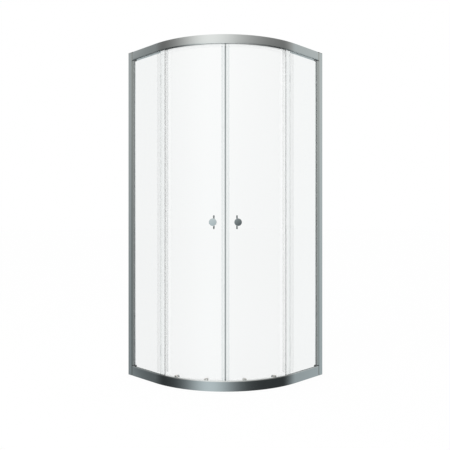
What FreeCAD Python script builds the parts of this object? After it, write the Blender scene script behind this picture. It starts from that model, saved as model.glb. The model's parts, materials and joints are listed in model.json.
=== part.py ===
import FreeCAD
import Part
import math
import os

# Quadrant corner shower screen. Two walls of a room meet behind it. Each side has a wall profile,
# a side jamb and a fixed glass panel, and a curved top and bottom rail joins the two sides.
# Two curved glass doors run on rollers in the rails and meet in the middle of the curve.
#
# Millimetres, +Z up. The origin is the middle of the square footprint at floor level.
# One wall is the plane y = +SIDE/2, the other is x = -SIDE/2, and the curve faces +X -Y.
# Right and left are as seen from outside. Left pieces are right pieces mirrored in the diagonal.
#
# Places on the screen are given by three measures:
#   inset  distance inwards from the outer face of the rails
#   run    distance along a straight side, from the wall
#   turn   angle along the curve in degrees, from the middle of the front

# Overall sizes
SIDE = 790.0
ARC_RADIUS = 540.0
HEIGHT = 1850.0

# Clearances
FIT = 0.2
SLIDE_FIT = 0.4
RUNNING_FIT = 0.05
ROLL_GAP = 0.3
SEAL_GAP = 0.6
SCREW_FIT = 0.1
PLUG_FIT = 0.3

# Glass
FIXED_GLASS = 5.0
DOOR_GLASS = 5.0

# Rail extrusions
RAIL_WALL = 2.0
RAIL_WEB = 2.5
RIB = 1.5
TROUGH_WIDTH = 16.0
LIP_RISE = 4.0
DOOR_GAP = 2.2
REAR_GAP = 3.0
BEVEL_DEPTH = 1.8
BEAD = 0.8
BEAD_DROP = 3.5
BEAD_LAND = 1.5
TOP_RAIL_HEIGHT = 46.0
TOP_BEVEL_RISE = 3.6
TOP_SHELF = 3.0
TOP_POCKET_DEPTH = 14.0
TOP_FLANGE_DROP = 10.0
BOTTOM_RAIL_HEIGHT = 55.0
BOTTOM_BEVEL_RISE = 4.5
BOTTOM_POCKET_DEPTH = 16.0
SILL_OUTER_HEIGHT = 24.0
SILL_INNER_HEIGHT = 20.0
RAIL_END_GAP = 0.5

# Infill strips that close the glazing pockets where there is no fixed glass
INFILL_WALL = 1.4
BOTTOM_INFILL_DROP = 0.5
TOP_INFILL_DROP = 5.0
INFILL_END_GAP = 2.0

# Glazing gaskets
GASKET_OUTER_LEG = 3.0
GASKET_INNER_LEG = 2.0
GASKET_FOOT = 3.0
JAMB_GASKET_LEG = 1.6
JAMB_GASKET_FOOT = 1.5
JAMB_GASKET_LIP = 2.0

# Wall profiles
WALL_WEB = 2.0
WALL_WIDTH = 31.0
WALL_FLANGE = 1.6
WALL_FLANGE_DEPTH = 29.0
WALL_CAP = 2.0
WALL_CAP_PLUG = 12.0
WALL_SCREW_RADIUS = 3.0
WALL_SCREW_PITCH = 500.0
WALL_SCREW_COUNT = 4

# Side jambs, full height beside the rails' ends and wider between the rails
JAMB_WALL = 1.4
JAMB_FACE = 19.0
JAMB_SLOT_DEPTH = 8.0
JAMB_TONGUE = 21.5

# Corner blocks and their screws
BLOCK_FLANGE = 5.0
BLOCK_TONGUE = 25.0
BLOCK_BOSS = 12.0
CORNER_SCREW_RADIUS = 2.0
CORNER_SCREW_HEAD_RADIUS = 4.0
CORNER_SCREW_HEAD = 2.4
CORNER_SCREW_LENGTH = 7.0
CORNER_SCREW_ACCESS_RADIUS = 5.0

# Screws that fix each jamb in its wall profile, with their caps
FIXING_SCREW_RADIUS = 1.9
FIXING_SCREW_HEAD_RADIUS = 3.5
FIXING_SCREW_HEAD = 2.2
FIXING_SCREW_LENGTH = 8.0
FIXING_SCREW_RUN = 18.0
FIXING_SCREW_PITCH = 725.0
FIXING_SCREW_COUNT = 3
CAP_WALL = 1.2
CAP_DOME = 1.2

# Seals on the free edges of the glass
FIXED_EDGE_TURN = 37.5
SEAL_WALL = 1.0
EDGE_SEAL_LEG = 5.0
MAGNET_SEAL_LEG = 10.0
FIXED_FIN_BOTTOM_CLEARANCE = 5.0

# Doors
DOOR_TRAVEL = 23.0
DOOR_EDGE_TURN = 44.5
DOOR_BOTTOM_GAP = 4.0
DOOR_TOP_GAP = 2.0
DOOR_SEAL_GAP = 2.0
MEETING_GAP = 0.6
MAGNET_THICKNESS = 3.5
MAGNET_WIDTH = 9.0
MAGNET_BOX = 6.0
MAGNET_BOX_WIDTH = 11.0

# Rollers
LEAD_TURN = 11.1
TRAIL_TURN = 30.2
WHEEL_RADIUS = 12.0
WHEEL_WIDTH = 6.0
WHEEL_SIDE_GAP = 2.0
WHEEL_EDGE = 0.8
BEARING_RADIUS = 5.0
AXLE_RADIUS = 3.0
AXLE_HEAD_RADIUS = 8.0
AXLE_HEAD = 1.3
AXLE_END_DEPTH = 3.0
COLLAR_RADIUS = 5.0
COLLAR_FLANGE_RADIUS = 8.0
COLLAR_FLANGE = 1.0
BUSH_FLANGE = 0.8
BUSH_RADIUS = 5.0
CAP_NUT_RADIUS = 7.0
CAP_NUT_THICKNESS = 4.5
CAP_NUT_ROUND = 1.2

# Door stops in the top rail
STOP_LENGTH = 14.0
STOP_HEIGHT = 14.0
STOP_GAP = 0.5

# Handles
HANDLE_TURN = 7.2
HANDLE_HEIGHT = 877.0
WASHER = 1.0
WASHER_RADIUS = 9.0
SAG_ALLOWANCE = 0.1
BOLT_RADIUS = 3.0
HANDLE_HOLE_RADIUS = 5.0
KNOB_RADIUS = 20.0
KNOB_PROJECTION = 30.0
KNOB_DISC = 13.0
KNOB_NECK_RADIUS = 7.0
KNOB_FOOT_RADIUS = 10.0
KNOB_FOOT = 2.0
KNOB_ROUND = 2.5
KNOB_DOME = 0.3
KNOB_THREAD_DEPTH = 22.0
BAR_LENGTH = 73.0
BAR_WIDTH = 8.0
BAR_THICKNESS = 8.0
BAR_STANDOFF = 4.0
BAR_STEM_RADIUS = 6.0
BAR_ROUND = 2.5
BAR_THREAD_DEPTH = 6.0

# Insets worked out from the sizes above, from the outer face inwards
POCKET_OUT = RAIL_WALL
FIXED_OUT = POCKET_OUT + GASKET_OUTER_LEG
FIXED_IN = FIXED_OUT + FIXED_GLASS
POCKET_IN = FIXED_IN + GASKET_INNER_LEG
TROUGH_OUT = POCKET_IN + RIB
WHEEL_OUT = TROUGH_OUT + WHEEL_SIDE_GAP
WHEEL_IN = WHEEL_OUT + WHEEL_WIDTH
TROUGH_IN = TROUGH_OUT + TROUGH_WIDTH
LIP_IN = TROUGH_IN + RIB
DOOR_OUT = LIP_IN + DOOR_GAP
DOOR_IN = DOOR_OUT + DOOR_GLASS
RAIL_IN = DOOR_IN + REAR_GAP + RAIL_WALL
JAMB_OUT = WALL_FLANGE + SLIDE_FIT
JAMB_IN = WALL_WIDTH - WALL_FLANGE - SLIDE_FIT
JAMB_SLOT_OUT = JAMB_OUT + JAMB_WALL
JAMB_SLOT_IN = FIXED_IN + JAMB_GASKET_LEG
JAMB_NOSE_IN = JAMB_SLOT_IN + JAMB_WALL
WALL_SCREW_INSET = WALL_WIDTH / 2
CORNER_SCREW_INSET = TROUGH_OUT + FIT + CORNER_SCREW_ACCESS_RADIUS
BLOCK_IN = CORNER_SCREW_INSET + CORNER_SCREW_HEAD_RADIUS

# Runs worked out from the sizes above, from the wall
STRAIGHT = SIDE - ARC_RADIUS
JAMB_START = WALL_FLANGE_DEPTH + SLIDE_FIT
JAMB_TONGUE_START = JAMB_START - JAMB_TONGUE
JAMB_BOX_START = JAMB_START + JAMB_WALL
JAMB_END = JAMB_START + JAMB_FACE
JAMB_SLOT_END = JAMB_END - JAMB_SLOT_DEPTH
GLASS_START = JAMB_SLOT_END + JAMB_GASKET_FOOT
RAIL_END = JAMB_SLOT_END + RAIL_END_GAP
BLOCK_START = RAIL_END + PLUG_FIT
BLOCK_END = BLOCK_START + BLOCK_BOSS
CORNER_SCREW_RUN = (BLOCK_START + BLOCK_END) / 2

# Heights worked out from the sizes above
TOP_RAIL_FOOT = HEIGHT - TOP_RAIL_HEIGHT
TOP_POCKET_CEILING = TOP_RAIL_FOOT + TOP_POCKET_DEPTH
TOP_FLOOR = TOP_RAIL_FOOT + TOP_SHELF
BOTTOM_FLOOR = BOTTOM_RAIL_HEIGHT - BOTTOM_POCKET_DEPTH
JAMB_FOOT = BOTTOM_RAIL_HEIGHT + BLOCK_FLANGE
JAMB_HEAD = TOP_RAIL_FOOT - BLOCK_FLANGE
FIXED_GLASS_FOOT = BOTTOM_FLOOR + GASKET_FOOT
FIXED_GLASS_HEAD = TOP_POCKET_CEILING - GASKET_FOOT
DOOR_FOOT = SILL_OUTER_HEIGHT + DOOR_BOTTOM_GAP
DOOR_HEAD = HEIGHT - TOP_FLANGE_DROP - DOOR_TOP_GAP
TOP_AXLE = TOP_FLOOR + ROLL_GAP + WHEEL_RADIUS
BOTTOM_AXLE = BOTTOM_FLOOR + ROLL_GAP + WHEEL_RADIUS
DOOR_SEAL_FOOT = BOTTOM_FLOOR + LIP_RISE + DOOR_SEAL_GAP
DOOR_SEAL_HEAD = TOP_RAIL_FOOT - DOOR_SEAL_GAP
FIXED_FIN_FOOT = BOTTOM_AXLE + WHEEL_RADIUS + FIXED_FIN_BOTTOM_CLEARANCE

HALF = SIDE / 2
HALF_TURN = 45.0
FULL_CIRCLE = 360.0
UP = FreeCAD.Vector(0, 0, 1)
OUTWARDS = FreeCAD.Vector(1, 0, 0)
ORIGIN = FreeCAD.Vector(0, 0, 0)
ARC_CENTRE = FreeCAD.Vector(STRAIGHT - HALF, HALF - STRAIGHT, 0)


def radius_at(inset):
    """Radius from the centre of the curve at a distance inwards from the rails' outer face."""
    return ARC_RADIUS - inset


def mirrored(shape):
    """The same piece on the other side of the diagonal."""
    return shape.mirror(ORIGIN, FreeCAD.Vector(1, 1, 0))


def both_sides(shapes):
    """Right-hand shapes and their left-hand twins as one group of separate solids."""
    return Part.makeCompound(list(shapes) + [mirrored(shape) for shape in shapes])


def closed_face(outline, hollows=()):
    """Plane face from a list of points, less any hollows."""
    loops = [list(outline)] + [list(hollow) for hollow in hollows]
    wires = [Part.makePolygon(loop + [loop[0]]) for loop in loops]
    return Part.makeFace(wires, "Part::FaceMakerBullseye")


def rectangle(low, high):
    """Corner points of a rectangle from two opposite corners."""
    return [low, (high[0], low[1]), high, (low[0], high[1])]


def rail_face(outline, hollows=()):
    """Face of (inset, height) points, standing where the right straight meets the curve."""

    def place(points):
        return [FreeCAD.Vector(HALF - inset, ARC_CENTRE.y, height) for inset, height in points]

    return closed_face(place(outline), [place(hollow) for hollow in hollows])


def along_front(outline, hollows=()):
    """Extrusion along both straights and the whole curve."""
    face = rail_face(outline, hollows)
    curve = face.revolve(ARC_CENTRE, UP, -2 * HALF_TURN)
    straight = face.extrude(FreeCAD.Vector(0, STRAIGHT - RAIL_END, 0))
    return curve.fuse([straight, mirrored(straight)]).removeSplitter()


def along_side(outline, start_run, end_turn):
    """Extrusion on the right from a run on the straight to a turn on the curve."""
    face = rail_face(outline)
    straight = face.extrude(FreeCAD.Vector(0, STRAIGHT - start_run, 0))
    curve = face.revolve(ARC_CENTRE, UP, end_turn - HALF_TURN)
    return straight.fuse(curve).removeSplitter()


def upright(outline, foot, head, hollows=()):
    """Vertical extrusion on the right of a section given as (inset, run) points."""

    def place(points):
        return [FreeCAD.Vector(HALF - inset, HALF - run, foot) for inset, run in points]

    face = closed_face(place(outline), [place(hollow) for hollow in hollows])
    return face.extrude(FreeCAD.Vector(0, 0, head - foot))


def block(insets, runs, heights):
    """Box on the right straight between two insets, two runs and two heights."""
    outline = rectangle((insets[0], runs[0]), (insets[1], runs[1]))
    return upright(outline, heights[0], heights[1])


def curved_sheet(insets, turns, heights):
    """Part of a cylinder wall between two insets, two turns and two heights."""
    corner = FreeCAD.Vector(0, 0, heights[0])
    span = turns[1] - turns[0]
    rise = heights[1] - heights[0]
    outer = Part.makeCylinder(radius_at(insets[0]), rise, corner, UP, span)
    inner = Part.makeCylinder(radius_at(insets[1]), rise, corner, UP, FULL_CIRCLE)
    return on_curve(outer.cut(inner), turns[0], 0)


def on_curve(shape, turn, height):
    """Move a shape built with +X away from the curve's centre to a turn and a height."""
    moved = shape.copy()
    moved.rotate(ORIGIN, UP, turn - HALF_TURN)
    moved.translate(ARC_CENTRE + UP * height)
    return moved


def rod(inner_radius, outer_radius, thickness_radius):
    """Rod along +X between two distances from the curve's centre."""
    foot = FreeCAD.Vector(inner_radius, 0, 0)
    return Part.makeCylinder(thickness_radius, outer_radius - inner_radius, foot, OUTWARDS)


def tube(inner_radius, outer_radius, wall_radius, bore_radius):
    """Tube along +X between two distances from the curve's centre."""
    outside = rod(inner_radius, outer_radius, wall_radius)
    return outside.cut(rod(inner_radius, outer_radius, bore_radius))


def turned(edges):
    """Solid of revolution about +X from the edges of a closed half section."""
    face = Part.Face(Part.Wire(edges))
    return face.revolve(ORIGIN, OUTWARDS, FULL_CIRCLE)


def line(start, end):
    """Straight edge between two (distance, radius) points."""
    return Part.makeLine(FreeCAD.Vector(start[0], 0, start[1]), FreeCAD.Vector(end[0], 0, end[1]))


def arc(start, middle, end):
    """Arc through three (distance, radius) points."""
    points = [FreeCAD.Vector(point[0], 0, point[1]) for point in (start, middle, end)]
    return Part.Arc(*points).toShape()


def upright_on_curve(outline, turn, foot, head):
    """Vertical extrusion of (distance from the curve's centre, offset) points at a turn."""
    face = closed_face([FreeCAD.Vector(point[0], point[1], foot) for point in outline])
    return on_curve(face.extrude(FreeCAD.Vector(0, 0, head - foot)), turn, 0)


# Rails


def top_rail():
    bevel_start = TOP_RAIL_FOOT + TOP_BEVEL_RISE
    bead_in = POCKET_OUT + BEAD
    outline = [
        (0, HEIGHT),
        (0, bevel_start),
        (BEVEL_DEPTH, TOP_RAIL_FOOT),
        (bead_in, TOP_RAIL_FOOT),
        (bead_in, TOP_RAIL_FOOT + BEAD_LAND),
        (POCKET_OUT, TOP_RAIL_FOOT + BEAD_DROP),
        (POCKET_OUT, TOP_POCKET_CEILING),
        (POCKET_IN, TOP_POCKET_CEILING),
        (POCKET_IN, TOP_RAIL_FOOT),
        (LIP_IN, TOP_RAIL_FOOT),
        (LIP_IN, TOP_FLOOR + LIP_RISE),
        (TROUGH_IN, TOP_FLOOR + LIP_RISE),
        (TROUGH_IN, TOP_FLOOR),
        (TROUGH_OUT, TOP_FLOOR),
        (TROUGH_OUT, HEIGHT - RAIL_WEB),
        (RAIL_IN - RAIL_WALL, HEIGHT - RAIL_WEB),
        (RAIL_IN - RAIL_WALL, HEIGHT - TOP_FLANGE_DROP),
        (RAIL_IN, HEIGHT - TOP_FLANGE_DROP),
        (RAIL_IN, HEIGHT),
    ]
    chamber = rectangle(
        (POCKET_OUT, TOP_POCKET_CEILING + RAIL_WALL),
        (POCKET_IN, HEIGHT - RAIL_WEB),
    )
    rail = along_front(outline, [chamber])
    hole = corner_screw_hole(TOP_RAIL_FOOT, TOP_FLOOR, CORNER_SCREW_RADIUS + SCREW_FIT)
    return rail.cut([hole, mirrored(hole)])


def bottom_rail():
    bevel_start = BOTTOM_RAIL_HEIGHT - BOTTOM_BEVEL_RISE
    bead_in = POCKET_OUT + BEAD
    outline = [
        (0, 0),
        (0, bevel_start),
        (BEVEL_DEPTH, BOTTOM_RAIL_HEIGHT),
        (bead_in, BOTTOM_RAIL_HEIGHT),
        (bead_in, BOTTOM_RAIL_HEIGHT - BEAD_LAND),
        (POCKET_OUT, BOTTOM_RAIL_HEIGHT - BEAD_DROP),
        (POCKET_OUT, BOTTOM_FLOOR),
        (POCKET_IN, BOTTOM_FLOOR),
        (POCKET_IN, BOTTOM_RAIL_HEIGHT),
        (TROUGH_OUT, BOTTOM_RAIL_HEIGHT),
        (TROUGH_OUT, BOTTOM_FLOOR),
        (TROUGH_IN, BOTTOM_FLOOR),
        (TROUGH_IN, BOTTOM_FLOOR + LIP_RISE),
        (LIP_IN, BOTTOM_FLOOR + LIP_RISE),
        (LIP_IN, SILL_OUTER_HEIGHT),
        (RAIL_IN, SILL_INNER_HEIGHT),
        (RAIL_IN, 0),
    ]
    main_chamber = rectangle((POCKET_OUT, RAIL_WEB), (TROUGH_IN, BOTTOM_FLOOR - RAIL_WALL))
    sill_chamber = [
        (LIP_IN, RAIL_WEB),
        (RAIL_IN - RAIL_WALL, RAIL_WEB),
        (RAIL_IN - RAIL_WALL, SILL_INNER_HEIGHT - RAIL_WALL),
        (LIP_IN, SILL_OUTER_HEIGHT - RAIL_WALL),
    ]
    rail = along_front(outline, [main_chamber, sill_chamber])
    floor_hole = corner_screw_hole(
        BOTTOM_FLOOR - RAIL_WALL, BOTTOM_FLOOR, CORNER_SCREW_RADIUS + SCREW_FIT
    )
    access_hole = corner_screw_hole(0, RAIL_WEB, CORNER_SCREW_ACCESS_RADIUS)
    holes = [floor_hole, access_hole]
    return rail.cut(holes + [mirrored(hole) for hole in holes])


def infill_strips():
    """Channel that closes the pocket of the bottom rail, and its twin in the top rail."""
    outer = POCKET_OUT + BEAD + FIT
    inner = POCKET_IN - FIT
    gap_turn = math.degrees(INFILL_END_GAP / radius_at(FIXED_OUT))
    end_turn = FIXED_EDGE_TURN - gap_turn
    strips = []
    for face_height, floor, inwards in (
        (BOTTOM_RAIL_HEIGHT - BOTTOM_INFILL_DROP, BOTTOM_FLOOR, -1),
        (TOP_RAIL_FOOT + TOP_INFILL_DROP, TOP_POCKET_CEILING, 1),
    ):
        leg_height = floor - inwards * FIT
        heights = sorted((face_height, leg_height))
        hollow = sorted((face_height + inwards * INFILL_WALL, leg_height))
        strip = curved_sheet((outer, inner), (-end_turn, end_turn), heights)
        core = curved_sheet(
            (outer + INFILL_WALL, inner - INFILL_WALL), (-end_turn, end_turn), hollow
        )
        strips.append(strip.cut(core))
    return strips


# Wall side


def wall_profile():
    outline = [
        (0, 0),
        (WALL_WIDTH, 0),
        (WALL_WIDTH, WALL_FLANGE_DEPTH),
        (WALL_WIDTH - WALL_FLANGE, WALL_FLANGE_DEPTH),
        (WALL_WIDTH - WALL_FLANGE, WALL_WEB),
        (WALL_FLANGE, WALL_WEB),
        (WALL_FLANGE, WALL_FLANGE_DEPTH),
        (0, WALL_FLANGE_DEPTH),
    ]
    profile = upright(outline, 0, HEIGHT - WALL_CAP)
    holes = [wall_screw_hole(height) for height in wall_screw_heights()]
    holes += [fixing_screw_hole(height) for height in fixing_screw_heights()]
    return profile.cut(holes)


def spread(count, pitch):
    """Heights of evenly spaced screws, centred on the height of the screen."""
    first = HEIGHT / 2 - pitch * (count - 1) / 2
    return [first + pitch * index for index in range(count)]


def wall_screw_heights():
    return spread(WALL_SCREW_COUNT, WALL_SCREW_PITCH)


def fixing_screw_heights():
    return spread(FIXING_SCREW_COUNT, FIXING_SCREW_PITCH)


def wall_screw_hole(height):
    foot = FreeCAD.Vector(HALF - WALL_SCREW_INSET, HALF - WALL_WEB, height)
    return Part.makeCylinder(WALL_SCREW_RADIUS, WALL_WEB, foot, FreeCAD.Vector(0, 1, 0))


def inset_rod(start_inset, length, rod_radius, height):
    """Rod from an inset outwards, on the line of the fixing screws."""
    foot = FreeCAD.Vector(HALF - start_inset, HALF - FIXING_SCREW_RUN, height)
    return Part.makeCylinder(rod_radius, length, foot, OUTWARDS)


def fixing_screw_hole(height):
    length = WALL_FLANGE + SLIDE_FIT + JAMB_WALL
    return inset_rod(WALL_WIDTH, length, FIXING_SCREW_RADIUS + SCREW_FIT, height)


def fixing_screw(height):
    head_inset = WALL_WIDTH + FIXING_SCREW_HEAD
    head = inset_rod(head_inset, FIXING_SCREW_HEAD, FIXING_SCREW_HEAD_RADIUS, height)
    shank = inset_rod(WALL_WIDTH, FIXING_SCREW_LENGTH, FIXING_SCREW_RADIUS, height)
    return head.fuse(shank)


def fixing_screw_cap(height):
    """Round cap that clips over the head of a fixing screw."""
    recess_radius = FIXING_SCREW_HEAD_RADIUS + PLUG_FIT
    recess_depth = FIXING_SCREW_HEAD + PLUG_FIT
    cap_radius = recess_radius + CAP_WALL
    cap_inset = WALL_WIDTH + recess_depth + CAP_DOME
    cap = inset_rod(cap_inset, cap_inset - WALL_WIDTH, cap_radius, height)
    rim = [edge for edge in cap.Edges if abs(edge.CenterOfMass.x - (HALF - cap_inset)) < FIT]
    rounded = cap.makeFillet(CAP_DOME / 2, rim)
    return rounded.cut(inset_rod(WALL_WIDTH + recess_depth, recess_depth, recess_radius, height))


def wall_profile_cap():
    """Plate over the tops of the wall profile and the jamb, with a plug behind the jamb's tongue."""
    plate = block((0, WALL_WIDTH), (0, JAMB_SLOT_END), (HEIGHT - WALL_CAP, HEIGHT))
    plug = block(
        (WALL_FLANGE + FIT, WALL_WIDTH - WALL_FLANGE - FIT),
        (WALL_WEB + FIT, JAMB_TONGUE_START - PLUG_FIT),
        (HEIGHT - WALL_CAP - WALL_CAP_PLUG, HEIGHT - WALL_CAP),
    )
    return plate.fuse(plug)


def side_jamb():
    """Hollow upright with a tongue in the wall profile and a slot for the glass.

    Its slot is cut away beside the rails' ends, and its box where the corner blocks go through.
    """
    inner_leg = JAMB_IN - JAMB_WALL
    slot_web = JAMB_SLOT_END - JAMB_WALL
    outline = [
        (JAMB_OUT, JAMB_TONGUE_START),
        (JAMB_SLOT_OUT, JAMB_TONGUE_START),
        (JAMB_SLOT_OUT, JAMB_START),
        (inner_leg, JAMB_START),
        (inner_leg, JAMB_TONGUE_START),
        (JAMB_IN, JAMB_TONGUE_START),
        (JAMB_IN, JAMB_BOX_START),
        (JAMB_NOSE_IN, JAMB_SLOT_END),
        (JAMB_NOSE_IN, JAMB_END),
        (JAMB_SLOT_IN, JAMB_END),
        (JAMB_SLOT_IN, JAMB_SLOT_END),
        (JAMB_SLOT_OUT, JAMB_SLOT_END),
        (JAMB_SLOT_OUT, JAMB_END),
        (JAMB_OUT, JAMB_END),
    ]
    hollow = [
        (JAMB_SLOT_OUT, JAMB_BOX_START),
        (inner_leg - JAMB_WALL, JAMB_BOX_START),
        (JAMB_SLOT_IN, slot_web),
        (JAMB_SLOT_OUT, slot_web),
    ]
    jamb = upright(outline, 0, HEIGHT - WALL_CAP - PLUG_FIT, [hollow])
    notches = [
        block((0, JAMB_IN), (start, JAMB_END), heights)
        for start, heights in (
            (JAMB_SLOT_END, (0, BOTTOM_RAIL_HEIGHT)),
            (JAMB_BOX_START, (BOTTOM_RAIL_HEIGHT, JAMB_FOOT)),
            (JAMB_BOX_START, (JAMB_HEAD, TOP_RAIL_FOOT)),
            (JAMB_SLOT_END, (TOP_RAIL_FOOT, HEIGHT)),
        )
    ]
    return jamb.cut(notches + [fixing_screw_hole(height) for height in fixing_screw_heights()])


def corner_screw_hole(foot, head, hole_radius):
    """Vertical hole on the line of a corner screw."""
    start = FreeCAD.Vector(HALF - CORNER_SCREW_INSET, HALF - CORNER_SCREW_RUN, foot)
    return Part.makeCylinder(hole_radius, head - foot, start, UP)


def corner_block(rim, upwards):
    """Plastic block on a rail's end, through the jamb's box, with a tongue and a boss for a screw."""
    shoulder = rim + upwards * BLOCK_FLANGE
    heights = sorted((rim, shoulder))
    box_start = JAMB_BOX_START + PLUG_FIT
    flange = block((JAMB_OUT, BLOCK_IN), (box_start, JAMB_END), heights)
    glass_way = block(
        (FIXED_OUT - FIT, FIXED_IN + FIT), (GLASS_START - FIT, JAMB_END + FIT), heights
    )
    boss = block((POCKET_IN + FIT, BLOCK_IN), (BLOCK_START, BLOCK_END), heights)
    tongue = block(
        (JAMB_SLOT_OUT + PLUG_FIT, JAMB_SLOT_IN - PLUG_FIT),
        (box_start, JAMB_SLOT_END - JAMB_WALL - PLUG_FIT),
        sorted((rim, shoulder + upwards * BLOCK_TONGUE)),
    )
    return flange.cut(glass_way).fuse([boss, tongue])


def bottom_corner_block():
    body = corner_block(BOTTOM_RAIL_HEIGHT, 1)
    trough_plug = block(
        (TROUGH_OUT + FIT, BLOCK_IN),
        (BLOCK_START, BLOCK_END),
        (BOTTOM_FLOOR + PLUG_FIT, BOTTOM_RAIL_HEIGHT),
    )
    thread = corner_screw_hole(
        BOTTOM_FLOOR,
        BOTTOM_FLOOR - RAIL_WALL + CORNER_SCREW_LENGTH + FIT,
        CORNER_SCREW_RADIUS + SCREW_FIT,
    )
    return body.fuse(trough_plug).removeSplitter().cut(thread)


def top_corner_block():
    body = corner_block(TOP_RAIL_FOOT, -1)
    thread = corner_screw_hole(
        TOP_FLOOR - CORNER_SCREW_LENGTH - FIT,
        TOP_RAIL_FOOT,
        CORNER_SCREW_RADIUS + SCREW_FIT,
    )
    return body.removeSplitter().cut(thread)


def corner_screws():
    """The screw that goes up into the bottom block and the one that goes down into the top block."""
    under_floor = BOTTOM_FLOOR - RAIL_WALL
    bottom_head = corner_screw_hole(
        under_floor - CORNER_SCREW_HEAD, under_floor, CORNER_SCREW_HEAD_RADIUS
    )
    bottom_shank = corner_screw_hole(
        under_floor, under_floor + CORNER_SCREW_LENGTH, CORNER_SCREW_RADIUS
    )
    top_head = corner_screw_hole(
        TOP_FLOOR, TOP_FLOOR + CORNER_SCREW_HEAD, CORNER_SCREW_HEAD_RADIUS
    )
    top_shank = corner_screw_hole(
        TOP_FLOOR - CORNER_SCREW_LENGTH, TOP_FLOOR, CORNER_SCREW_RADIUS
    )
    return [bottom_head.fuse(bottom_shank), top_head.fuse(top_shank)]


# Fixed panels


def fixed_glass():
    edge_turn = FIXED_EDGE_TURN + math.degrees((SEAL_WALL + FIT) / radius_at(FIXED_OUT))
    outline = rectangle((FIXED_OUT, FIXED_GLASS_FOOT), (FIXED_IN, FIXED_GLASS_HEAD))
    return along_side(outline, GLASS_START, edge_turn)


def rail_gaskets():
    """Rubber channels that hold the fixed glass in the bottom and the top rail."""
    edge_turn = FIXED_EDGE_TURN + math.degrees((SEAL_WALL + FIT) / radius_at(FIXED_OUT))
    outer = POCKET_OUT + FIT
    inner = POCKET_IN - FIT
    slot_out = FIXED_OUT - FIT
    slot_in = FIXED_IN + FIT
    gaskets = []
    for rim, floor, glass_edge, inwards in (
        (BOTTOM_RAIL_HEIGHT, BOTTOM_FLOOR, FIXED_GLASS_FOOT, -1),
        (TOP_RAIL_FOOT, TOP_POCKET_CEILING, FIXED_GLASS_HEAD, 1),
    ):
        mouth = rim + inwards * (BEAD_DROP + FIT)
        seat = floor - inwards * FIT
        slot = glass_edge + inwards * FIT
        outline = [
            (outer, seat),
            (inner, seat),
            (inner, mouth),
            (slot_in, mouth),
            (slot_in, slot),
            (slot_out, slot),
            (slot_out, mouth),
            (outer, mouth),
        ]
        gaskets.append(along_side(outline, JAMB_END + JAMB_GASKET_LIP, edge_turn))
    return gaskets


def jamb_gasket():
    """Rubber channel that holds the fixed glass in the slot of the jamb."""
    outer = JAMB_SLOT_OUT + FIT
    inner = JAMB_SLOT_IN - FIT
    slot_out = FIXED_OUT - FIT
    slot_in = FIXED_IN + FIT
    mouth = JAMB_END + JAMB_GASKET_LIP
    outline = [
        (outer, JAMB_SLOT_END + FIT),
        (inner, JAMB_SLOT_END + FIT),
        (inner, mouth),
        (slot_in, mouth),
        (slot_in, GLASS_START - FIT),
        (slot_out, GLASS_START - FIT),
        (slot_out, mouth),
        (outer, mouth),
    ]
    return upright(outline, JAMB_FOOT, JAMB_HEAD)


def fixed_edge_seal():
    """Clear clip on the free edge of the fixed glass, with a fin that reaches to the door."""
    outer_face = radius_at(FIXED_OUT) + FIT
    inner_face = radius_at(FIXED_IN) - FIT
    outline = [
        (outer_face + SEAL_WALL, 0),
        (outer_face + SEAL_WALL, EDGE_SEAL_LEG),
        (outer_face, EDGE_SEAL_LEG),
        (outer_face, SEAL_WALL),
        (inner_face, SEAL_WALL),
        (inner_face, EDGE_SEAL_LEG),
        (inner_face - SEAL_WALL, EDGE_SEAL_LEG),
        (inner_face - SEAL_WALL, 0),
    ]
    clip_foot = BOTTOM_RAIL_HEIGHT + FIT
    clip_head = TOP_RAIL_FOOT - FIT
    clip = upright_on_curve(outline, FIXED_EDGE_TURN, clip_foot, clip_head)
    fin_outline = rectangle(
        (radius_at(DOOR_OUT) + SEAL_GAP, 0), (inner_face - SEAL_WALL, SEAL_WALL)
    )
    fin = upright_on_curve(fin_outline, FIXED_EDGE_TURN, FIXED_FIN_FOOT, clip_head)
    return clip.fuse(fin).removeSplitter()


# Doors


def door_glass():
    lead_edge = MEETING_GAP / 2 + MAGNET_THICKNESS + MAGNET_BOX + SEAL_WALL + FIT
    lead_turn = math.degrees(lead_edge / radius_at(DOOR_OUT))
    sheet = curved_sheet(
        (DOOR_OUT, DOOR_IN), (lead_turn, door_glass_end()), (DOOR_FOOT, DOOR_HEAD)
    )
    hole = rod(radius_at(DOOR_IN) - DOOR_GAP, radius_at(DOOR_OUT) + DOOR_GAP, BUSH_RADIUS + FIT)
    handle_hole = rod(
        radius_at(DOOR_IN) - DOOR_GAP, radius_at(DOOR_OUT) + DOOR_GAP, HANDLE_HOLE_RADIUS
    )
    holes = [on_curve(hole, turn, height) for turn, height in roller_places()]
    holes.append(on_curve(handle_hole, HANDLE_TURN, HANDLE_HEIGHT))
    return sheet.cut(holes)


def door_glass_end():
    """Turn of the trailing edge of the door glass, inside its seal."""
    return DOOR_EDGE_TURN - math.degrees((SEAL_WALL + FIT) / radius_at(DOOR_OUT))


def roller_places():
    return [
        (turn, height) for turn in (LEAD_TURN, TRAIL_TURN) for height in (BOTTOM_AXLE, TOP_AXLE)
    ]


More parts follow.
